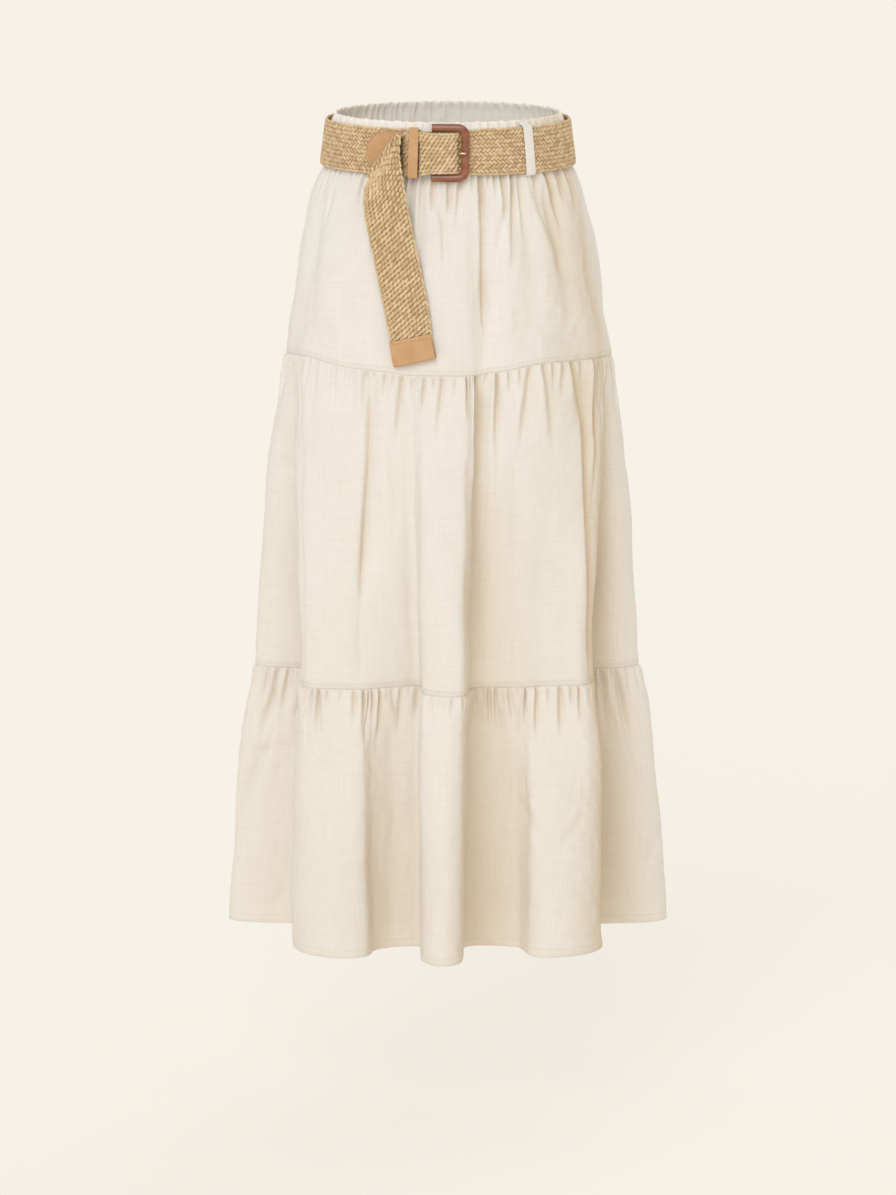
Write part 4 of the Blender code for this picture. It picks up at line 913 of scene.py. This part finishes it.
def strapSections():
    # each section is its low end, its high end and the way of its outer face
    found = []

    def upright(bearing, out, half):
        low, high = beltPoint(bearing, out, -half), beltPoint(bearing, out, half)
        found.append((low, high, unit(beltPoint(bearing, out + 0.01, 0) - beltPoint(bearing, out, 0))))

    for x, out, half in belt["start"]:
        upright(bearingAt(x, out), out, half)
    first, last, steps, out = belt["round"]
    for i in range(steps + 1):
        upright(first + (last - first) * i / steps, out, belt["half"])
    for x, out, half in belt["end"]:
        upright(bearingAt(x, out), out, half)
    (lowX, lowZ), (highX, highZ), flat = belt["foldLow"], belt["foldHigh"], belt["foldOut"]
    lastX, lastOut, lastHalf = belt["end"][-1]
    for share in (0.25, 0.5, 0.75):
        out = lastOut + share * (flat - lastOut)
        ends = []
        for x, z, fromZ in ((lowX, lowZ, -lastHalf), (highX, highZ, lastHalf)):
            atX, atZ = lastX + share * (x - lastX), fromZ + share * (z - fromZ)
            ends.append(beltPoint(bearingAt(atX, out, atZ), out, atZ))
        middle = (ends[0] + ends[1]) / 2
        found.append((ends[0], ends[1], unit(np.array((middle[0] * 0.6, middle[1], 0)))))
    low = beltPoint(bearingAt(lowX, flat, lowZ), flat, lowZ)
    high = beltPoint(bearingAt(highX, flat, highZ), flat, highZ)
    line = unit(high - low)
    away = unit(np.array((low[0] + high[0], low[1] + high[1], 0)))
    face = unit(away - line * away.dot(line))
    past = unit(np.cross(line, face))
    past = -past if past[0] > 0 else past
    radius = belt["foldRadius"]
    for turn in np.linspace(0, math.pi, 13):
        shift = past * radius * math.sin(turn) + face * radius * (1 - math.cos(turn))
        found.append((low + shift, high + shift, face * math.cos(turn) - past * math.sin(turn)))
    for row in belt["tail"]:
        left, right = np.array(row[:3]), np.array(row[3:])
        found.append((left, right, unit(np.cross((0, 0, 1), right - left))))
    return np.array(found)


def refined(sections, step):
    # a smooth run through the sections, with an even step along the strap
    run = runOf(sections[:, :2].mean(1))
    wanted = np.linspace(0, run[-1], int(run[-1] / step))
    slope = np.gradient(sections, run, axis=0)
    i = np.clip(np.searchsorted(run, wanted) - 1, 0, len(run) - 2)
    gap = (run[i + 1] - run[i])[:, None, None]
    t = ((wanted - run[i]) / (run[i + 1] - run[i]))[:, None, None]
    found = smoothly(t, gap, sections[i], sections[i + 1], slope[i], slope[i + 1])
    found[:, 2] = unit(found[:, 2])
    return found, wanted


strapRun, strapLength = refined(strapSections(), belt["step"])
lowest, before = belt["tailFrom"]
tailStarts = strapLength[np.argmax(strapRun[:, 0, 2] + 1e-9 < lowest)] - before
print("strap is", round(float(strapLength[-1]), 3), "m long, tail from", round(float(tailStarts), 3))


def grainMaterial():
    mix = Recipe("strawGrains")
    tint = mix.onMap("tint")
    fibre = mix.noise(mix.scaled(mix.onMap("cloth"), (*braid["fibre"], 1)), 1.0, 3.0, 0.6)
    tone = mix.weighed(mix.part(tint, "X"), braid["toneShares"][0], fibre, braid["toneShares"][1])
    colour = mix.ramp(tone, list(zip(braid["toneStops"], (braid["dark"], braid["mid"], braid["light"]))))
    # painted shade: the tint map's Y darkens the grains in the space between the tail and the keeper
    colour = mix.blended(mix.part(tint, "Y"), colour, (*braid["paintedShadeTone"], 1), "MULTIPLY")
    mix.bump(fibre, braid["fibreDepth"], 0.9)
    return mix.finish(Base_Color=colour, Roughness=braid["rough"], Specular_IOR_Level=0.3)


def underMaterial():
    mix = Recipe("strawUnder")
    rough = mix.noise(mix.onObject(), braid["underGrain"], 3.0)
    mix.bump(rough, braid["underDepth"])
    # painted shade for the crevices between the grains
    colour = mix.ramp(rough, [(0.35, braid["under"]), (0.75, braid["dark"])])
    return mix.finish(Base_Color=colour, Roughness=0.9)


strawGrains = grainMaterial()


def strapAt(lengthways, across, side):
    # centre and directions of places on one face; across runs from -1 to 1
    low, high, face = (onLine(lengthways, strapLength, strapRun[:, part]) for part in range(3))
    lowNext, highNext = (onLine(lengthways + 0.001, strapLength, strapRun[:, part]) for part in range(2))
    wide = unit(high - low)
    share = ((across + 1) / 2)[:, None]
    here = low + (high - low) * share
    ahead = lowNext * (1 - share) + highNext * share - here
    slow = np.linalg.norm(ahead, axis=1) < 1e-5
    ahead[slow] = np.cross(wide[slow], face[slow]) * 0.001
    ahead = unit(ahead)
    out = unit(np.cross(wide, ahead))
    outward = np.sign((out * face).sum(1))  # +1 where the cross product already points out
    return here, ahead, wide, out * (outward * side)[:, None]


def makeBraid():
    shuffle = np.random.default_rng(braid["seed"])
    lengthways, across, sides, slants = [], [], [], []
    rowGap = 2 * braid["rowsHalf"] / braid["rows"]
    total = strapLength[-1]
    onFront = (strapRun[:, 0, 1] < 0) & (strapLength > 0.5)
    outerTwill = strapLength[np.argmax(onFront & (strapRun[:, 0, 0] < braid["twillFrom"]))]
    # on each face: where a stretch starts and ends, and its slant where it is twill
    overFold = tailStarts + braid["overFold"]
    stretches = [(1, 0.0, outerTwill, None), (1, outerTwill, overFold, 1), (-1, tailStarts, total, -1)]
    for side, first, last, twill in stretches:
        slant, pitch = braid["twill"][twill] if twill else (braid["slant"], braid["pitch"])
        count = int((last - first) / pitch)
        for row in range(braid["rows"]):
            up = row % 2 == 0
            at = first + (np.arange(count) + 0.5 + (0.25 if up else -0.25)) * pitch
            lengthways.append(at)
            across.append(np.full(count, (-braid["rowsHalf"] + (row + 0.5) * rowGap) / belt["half"]))
            sides.append(np.full(count, side))
            slants.append(np.full(count, -slant if twill else slant if up else -slant))
    lengthways, across, sides, slants = (np.concatenate(v) for v in (lengthways, across, sides, slants))
    kept = (lengthways > braid["endGap"]) & (lengthways < total - braid["endGap"])
    lengthways, across, sides, slants = (v[kept] for v in (lengthways, across, sides, slants))
    count = len(lengthways)
    lengthways = lengthways + shuffle.normal(0, braid["shifts"][0], count)
    across = across + shuffle.normal(0, braid["shifts"][1], count)
    here, ahead, wide, out = strapAt(lengthways, across, sides)
    angle = np.radians(slants + shuffle.normal(0, braid["turned"], count))
    along = unit(ahead * np.cos(angle)[:, None] + wide * np.sin(angle)[:, None])
    aside = np.cross(out, along)
    spread, least, most = braid["varied"]
    sizes = np.array(braid["grain"]) * shuffle.normal(1, spread, (count, 3)).clip(least, most)
    sizes[:, 2] = braid["grain"][2] * shuffle.uniform(*braid["higher"], count)
    lift = belt["thick"] / 2 - braid["grain"][2] - braid["below"]
    # painted shade on the outer face's grains between the tail and the keeper
    left, right = braid["shade"]
    nearTail = np.clip((right - here[:, 0]) / (braid["shadeFade"] * (right - left)), 0, 1)
    shade = nearTail * (here[:, 0] > left) * (sides > 0) * (lengthways > outerTwill)
    tints = np.stack([shuffle.random(count), shade], 1)
    piece = grainMesh("braidGrains", here + out * lift, along, aside, out, sizes, strawGrains, 8, 4, tints)
    dress(piece, "braid", "belt_strap")
    print("braid made,", count, "grains")


def makeEdges():
    shuffle = np.random.default_rng(braid["seed"] + 1)
    count = int(strapLength[-1] / braid["edgePitch"])
    at = (np.arange(count) + 0.5) * strapLength[-1] / count
    parts = []
    for edge in (-1, 1):
        here, ahead, wide, out = strapAt(at, np.full(count, edge * braid["edgeAt"]), np.ones(count))
        tilt = math.radians(braid["edgeTilt"]) * edge
        along = unit(ahead * math.cos(tilt) + wide * math.sin(tilt))
        parts.append((here, along, np.cross(out, along), out))
    here, along, aside, out = (np.concatenate([p[i] for p in parts]) for i in range(4))
    sizes = np.tile(braid["edge"], (len(here), 1)) * shuffle.uniform(0.93, 1.05, (len(here), 1))
    tints = np.stack([shuffle.random(len(here)), np.zeros(len(here))], 1)
    piece = grainMesh("braidEdges", here, along, aside, out, sizes, strawGrains, 8, 4, tints)
    dress(piece, "braid")


def makeUnderlay():
    # the darker band that shows between the grains; its dark tone is painted shade for the crevices of the
    # plait
    half, inset = belt["thick"] / 2 - braid["sunk"], braid["inset"]
    rings = []
    for low, high, face in strapRun[::2]:
        wide = unit(high - low)
        lower, upper = low + wide * inset, high - wide * inset
        rings.append([lower - face * half, lower + face * half, upper + face * half, upper - face * half])
    last = 4 * (len(rings) - 1)
    ends = [[3, 2, 1, 0], [last, last + 1, last + 2, last + 3]]
    quads = np.vstack([ringQuads(len(rings), 4, flipped=True), ends])
    piece = meshPiece("braidUnderlay", np.reshape(rings, (-1, 3)), quads, underMaterial())
    piece.data.set_sharp_from_angle(angle=math.radians(50))
    dress(piece, "braid")


makeBraid()
makeEdges()
makeUnderlay()


# leather, buckle and brass
leather = {
    "pale": (0.6, 0.355, 0.178), "deep": (0.545, 0.308, 0.142), "worn": (0.42, 0.225, 0.092),
    "grain": 520.0, "grainDepth": 0.00012, "cloud": 60.0, "round": 0.0007,  # round is how softly edges shade
}
tortoise = {
    "base": (0.215, 0.066, 0.023), "streak": (0.32, 0.108, 0.04),
    "streaks": (60, 60, 190), "wear": 700.0, "rough": 0.34, "round": 0.0009,
}
brass = {"colour": (0.86, 0.64, 0.46), "wear": 900.0, "dark": 0.8, "rough": 0.18}


def leatherMaterial():
    mix = Recipe("tanLeather")
    place = mix.onObject()
    inputs = {"Vector": place, "Scale": leather["grain"]}
    pores = mix.node("ShaderNodeTexVoronoi", {"feature": "F1"}, **inputs).outputs["Distance"]
    rounded, edge = mix.edges(leather["round"])
    clouds = mix.noise(place, leather["cloud"], 3.0)
    colour = mix.ramp(clouds, [(0.35, leather["deep"]), (0.65, leather["pale"])])
    colour = mix.blended(mix.maths("MINIMUM", edge, 0.8), colour, (*leather["worn"], 1))
    mix.bump(pores, leather["grainDepth"], 0.6, rounded)
    return mix.finish(Base_Color=colour, Roughness=0.5, Specular_IOR_Level=0.4)


def buckleMaterial():
    mix = Recipe("brownBuckle")
    place = mix.onObject()
    streaks = mix.noise(mix.scaled(place, tortoise["streaks"]), 1.0, 3.0)
    mix.bump(mix.noise(place, tortoise["wear"]), 0.00003, 0.4, mix.edges(tortoise["round"])[0])
    colour = mix.ramp(streaks, [(0.4, tortoise["base"]), (0.7, tortoise["streak"])])
    return mix.finish(Base_Color=colour, Roughness=tortoise["rough"], Coat_Weight=0.35, Coat_Roughness=0.08)


def brassMaterial():
    mix = Recipe("paleBrass")
    wear = mix.noise(mix.onObject(), brass["wear"])
    mix.bump(wear, 0.00002, 0.5)
    darker = tuple(brass["dark"] * part for part in brass["colour"])
    colour = mix.ramp(wear, [(0.35, darker), (0.65, brass["colour"])])
    return mix.finish(Base_Color=colour, Roughness=brass["rough"], Metallic=1.0)


tanLeather = leatherMaterial()
paleBrass = brassMaterial()
finishOf = {
    "belt_tab": tanLeather, "belt_keeper": tanLeather, "belt_tip": tanLeather,
    "buckle_frame": buckleMaterial(), "buckle_bar": paleBrass,
}
for node, material in finishOf.items():
    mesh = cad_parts[node].data
    mesh.materials.clear()
    mesh.materials.append(material)
print("leather, buckle and brass finished")


# prong
prong = {
    "place": (0.0, -0.1005, 0.0), "turn": (-4.82, 0.0, -4.55),
    "radius": 0.00118, "bar": -0.016, "eye": 0.0028,  # radius, the bar's x, and the curl round it
    # x and how far forward, in millimetres, from behind the strap onto the frame
    "turns": [(-10.0, 2.5), (-4.0, 1.7), (1.5, 0.9), (6.0, 0.7), (9.6, 0.8), (11.5, 2.3), (12.9, 4.1),
              (14.6, 4.75), (16.6, 4.65), (19.2, 4.1)],
}


tube = {"rings": 90, "sides": 16, "smoothed": 4, "upright": (0.0, 0.55, 1.0), "tipEnd": 0.01}


def tubeAlong(name, line, radius, material, tip=False):
    # a round tube on a smoothed line; its end is rounded where tip is true
    run = runOf(line)
    wanted = np.linspace(0, run[-1], tube["rings"])
    smooth = onLine(wanted, run, line)
    for _ in range(tube["smoothed"]):
        smooth[1:-1] = 0.25 * smooth[:-2] + 0.5 * smooth[1:-1] + 0.25 * smooth[2:]
    ahead = unit(np.gradient(smooth, axis=0))
    aside = unit(np.cross(ahead, tube["upright"]))
    up = np.cross(aside, ahead)
    left = (run[-1] - wanted) / radius if tip else np.ones(len(wanted))
    full = np.sqrt(np.clip(1 - np.clip(1 - left, 0, 1) ** 2, 0, 1)) * (1 - tube["tipEnd"]) + tube["tipEnd"]
    turns = np.linspace(0, 2 * math.pi, tube["sides"], endpoint=False)
    around = aside[:, None] * np.cos(turns)[None, :, None] + up[:, None] * np.sin(turns)[None, :, None]
    rings = smooth[:, None] + around * (radius * full)[:, None, None]
    count, size = rings.shape[:2]
    base = (count - 1) * size
    caps = [(0, c + 1, c) for c in range(1, size - 1)]
    caps += [(base, base + c, base + c + 1) for c in range(1, size - 1)]
    return meshPiece(name, rings.reshape(-1, 3), ringQuads(count, size, flipped=True), material, caps)


def makeProng():
    angles = np.radians(np.linspace(-270, 0, 12))
    eye = prong["eye"]
    line = np.stack([prong["bar"] + eye * np.sin(angles), -eye * np.cos(angles), 0 * angles], 1)
    line = np.vstack([line, [(x / 1000, -forward / 1000, 0) for x, forward in prong["turns"]]])
    move = Matrix.LocRotScale(prong["place"], Euler([math.radians(a) for a in prong["turn"]]), None)
    line = line @ np.array(move.to_3x3()).T + np.array(move.translation)
    dress(tubeAlong("prong", line, prong["radius"], paleBrass, tip=True), "brass", "buckle_prong")


makeProng()
print("prong made")


# dark line along the keeper's edge, on the buckle's side: partly its burnished cut edge, partly a painted
# shadow
keeperEdge = {
    "reach": 0.0236, "radius": 0.00075, "out": 0.0005, "sunk": 0.0004, "search": 0.003,
    "colour": (0.085, 0.04, 0.018),
}


def surfaceOf(node):
    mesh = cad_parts[node].data
    return BVHTree.FromPolygons([v.co for v in mesh.vertices], [p.vertices for p in mesh.polygons])


def fromFront(tree, x, z):
    # place and normal where a ray from the front meets a surface
    return tree.ray_cast((x, -0.4, z), (0, 1, 0))[:2]


def makeKeeperEdge():
    tree = surfaceOf("belt_keeper")
    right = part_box("belt_keeper")[1][0]
    line = []
    for z in np.linspace(-keeperEdge["reach"], keeperEdge["reach"], 12):
        hits = [fromFront(tree, right - inside, z)[0] for inside in np.linspace(0, keeperEdge["search"], 31)]
        first = next(hit for hit in hits if hit)
        line.append((first[0] + keeperEdge["out"], first[1] + keeperEdge["sunk"], z))
    material = threadMaterial("edgeAndShadow", keeperEdge["colour"])
    dress(tubeAlong("keeperEdge", np.array(line), keeperEdge["radius"], material), "leather")


makeKeeperEdge()
print("keeper's edge made")


# stitches on the leather
leatherStitch = {
    "pitch": 0.0027, "length": 0.0018, "thick": 0.0003, "proud": 0.00008, "facets": (6, 3),
    "tab": {"end": -0.082, "round": 0.0182, "half": 0.0199, "to": -0.056},
    "tip": [(-0.0566, -0.1955), (-0.043, -0.1926), (-0.029, -0.1896), (-0.017, -0.1874)],
}


def stitchesOn(name, node, line):
    # stitches along a line of x and z, laid on the front of a node
    tree = surfaceOf(node)
    hits = []
    for (x, z), (nextX, nextZ) in zip(line, line[1:]):
        for t in np.linspace(0, 1, 12, endpoint=False):
            hits.append(fromFront(tree, x + (nextX - x) * t, z + (nextZ - z) * t))
    points, normals = (np.array([hit[i] for hit in hits if hit[0]]) for i in range(2))
    at, along = alongLine(points, leatherStitch["pitch"], closed=False)
    out = unit(np.array([normals[int(np.argmin(np.linalg.norm(points - p, axis=1)))] for p in at]))
    stitchGrains(name, at, along, out, leatherStitch, tanThread, "leather")


def tabLine():
    # round the tab's end, just inside its edge
    tab = leatherStitch["tab"]
    curve = [(tab["end"] + tab["round"] * (1 - math.sqrt(1 - share**2)), tab["half"] * share)
             for share in np.linspace(1, -1, 41)]
    return [(tab["to"], tab["half"])] + curve


stitchesOn("stitchesTab", "belt_tab", tabLine())
stitchesOn("stitchesTip", "belt_tip", leatherStitch["tip"])


# belt loops
loops = {
    "half": 0.0054, "thick": 0.0012, "rows": 44, "thread": 0.0009, "cut": 0.011,
    # how far out from the waist, and the height
    "turns": [(-0.0026, 0.0284), (-0.0016, 0.0266), (0.0008, 0.0256), (0.0036, 0.025), (0.005, 0.0236),
              (0.0052, 0.012), (0.0053, 0.0), (0.0052, -0.012), (0.005, -0.0228), (0.0042, -0.0248),
              (0.0016, -0.0258)],
    "places": {"loopFrontRight": (39.5, "loop_front_right"), "loopBackRight": (139.0, "loop_back_right"),
               "loopBackLeft": (221.0, "loop_back_left")},
}


def makeLoop(name, bearing, node):
    turns = np.array(loops["turns"])
    run = runOf(turns)
    wanted = np.linspace(0, run[-1], loops["rows"])
    outs, heights = (np.interp(wanted, run, turns[:, i]) for i in range(2))
    along = unit(np.stack([np.gradient(outs), np.gradient(heights)], 1))
    outs = np.convolve(np.pad(outs, 1, "edge"), (0.25, 0.5, 0.25), "valid")
    angle = math.radians(bearing)
    perDegree = math.radians(np.hypot(belt["waist"][0] * math.cos(angle), belt["waist"][1] * math.sin(angle)))
    spread, half = loops["half"] / perDegree, loops["thick"] / 2
    profile = [(w, (1 - abs(w) ** 6) ** 0.5) for w in np.linspace(-1, 1, 13)]
    section = profile + [(w, -h) for w, h in profile[-2:0:-1]]
    rings = []
    for out, height, (alongOut, alongUp) in zip(outs, heights, along):
        normal = np.array((-alongUp, alongOut)) * (-half if alongUp > 0 else half)
        rings.append([beltPoint(bearing + w * spread, out + normal[0] * h, height + normal[1] * h)
                      for w, h in section])
    count, size = len(rings), len(section)
    quads = ringQuads(count, size)
    u = (quads[:, :1] % size + [0, 0, 1, 1]) * loops["thread"]
    v = quads // size * run[-1] / count
    uvs = np.concatenate([np.stack([u, v], -1).reshape(-1, 2), np.zeros((2 * size, 2))])
    ends = [range(size), range(count * size - 1, (count - 1) * size - 1, -1)]
    piece = meshPiece(name, np.reshape(rings, (-1, 3)), quads, linenNarrow, ends, uvs)
    dress(piece, "linen", node)


for name, (bearing, node) in loops["places"].items():
    makeLoop(name, bearing, node)
print("loops made")


# floor and light
studio = {
    "floor": (0.3, 0.286, 0.263), "floorGlow": (0.645, 0.611, 0.556), "floorHeight": -1.03,
    "sky": (1.0, 0.985, 0.945), "skyStrength": 0.6,
    "key": 1.17, "keyTurn": (56.0, 0.0, -15.0), "keySoft": 40.0, "keyColour": (0.97, 0.985, 1.0),
    "fill": 0.8, "fillTurn": (58.0, 0.0, 152.0), "fillSoft": 50.0,
    "wall": (0.908, 0.862, 0.792), "wallRadius": 32.0, "wallHeight": 9.0,
}


def makeStudio():
    mix = Recipe("paleFloor")
    mix.finish(Base_Color=(*studio["floor"], 1), Roughness=1.0, Specular_IOR_Level=0.0)
    mix.finish(Emission_Color=(*studio["floorGlow"], 1), Emission_Strength=1.0)
    size, level = 60.0, studio["floorHeight"]
    corners = [(-size, -size, level), (size, -size, level), (size, size, level), (-size, size, level)]
    floor = meshPiece("studioFloor", corners, [(0, 1, 2, 3)], mix.material)
    world = bpy.data.worlds.new("studioSky")
    world.use_nodes = True
    sky = world.node_tree.nodes["Background"]
    sky.inputs["Color"].default_value = (*studio["sky"], 1)
    sky.inputs["Strength"].default_value = studio["skyStrength"]
    bpy.context.scene.world = world
    for part in ("key", "fill"):
        lamp = bpy.data.lights.new(part + "Light", "SUN")
        lamp.energy = studio[part]
        lamp.angle = math.radians(studio[part + "Soft"])
        lamp.color = studio["keyColour"]
        light = bpy.data.objects.new(part + "Light", lamp)
        light.rotation_euler = tuple(math.radians(a) for a in studio[part + "Turn"])
        bpy.context.scene.collection.objects.link(light)
    bpy.context.scene.view_settings.view_transform = "Standard"


def makeWall():
    # a low round wall far off, in the floor's own tone, so that no horizon shows
    mix = Recipe("paleWall")
    mix.finish(Base_Color=(0, 0, 0, 1), Roughness=1.0, Specular_IOR_Level=0.0)
    mix.finish(Emission_Color=(*studio["wall"], 1), Emission_Strength=1.0)
    turns = np.linspace(0, 2 * math.pi, 96, endpoint=False)
    ring = np.stack([np.cos(turns), np.sin(turns)], 1) * studio["wallRadius"]
    low, high = studio["floorHeight"], studio["floorHeight"] + studio["wallHeight"]
    points = np.vstack([np.column_stack([ring, np.full(len(ring), z)]) for z in (low, high)])
    meshPiece("studioWall", points, ringQuads(2, len(ring)), mix.material)


makeStudio()
makeWall()
print("studio made")
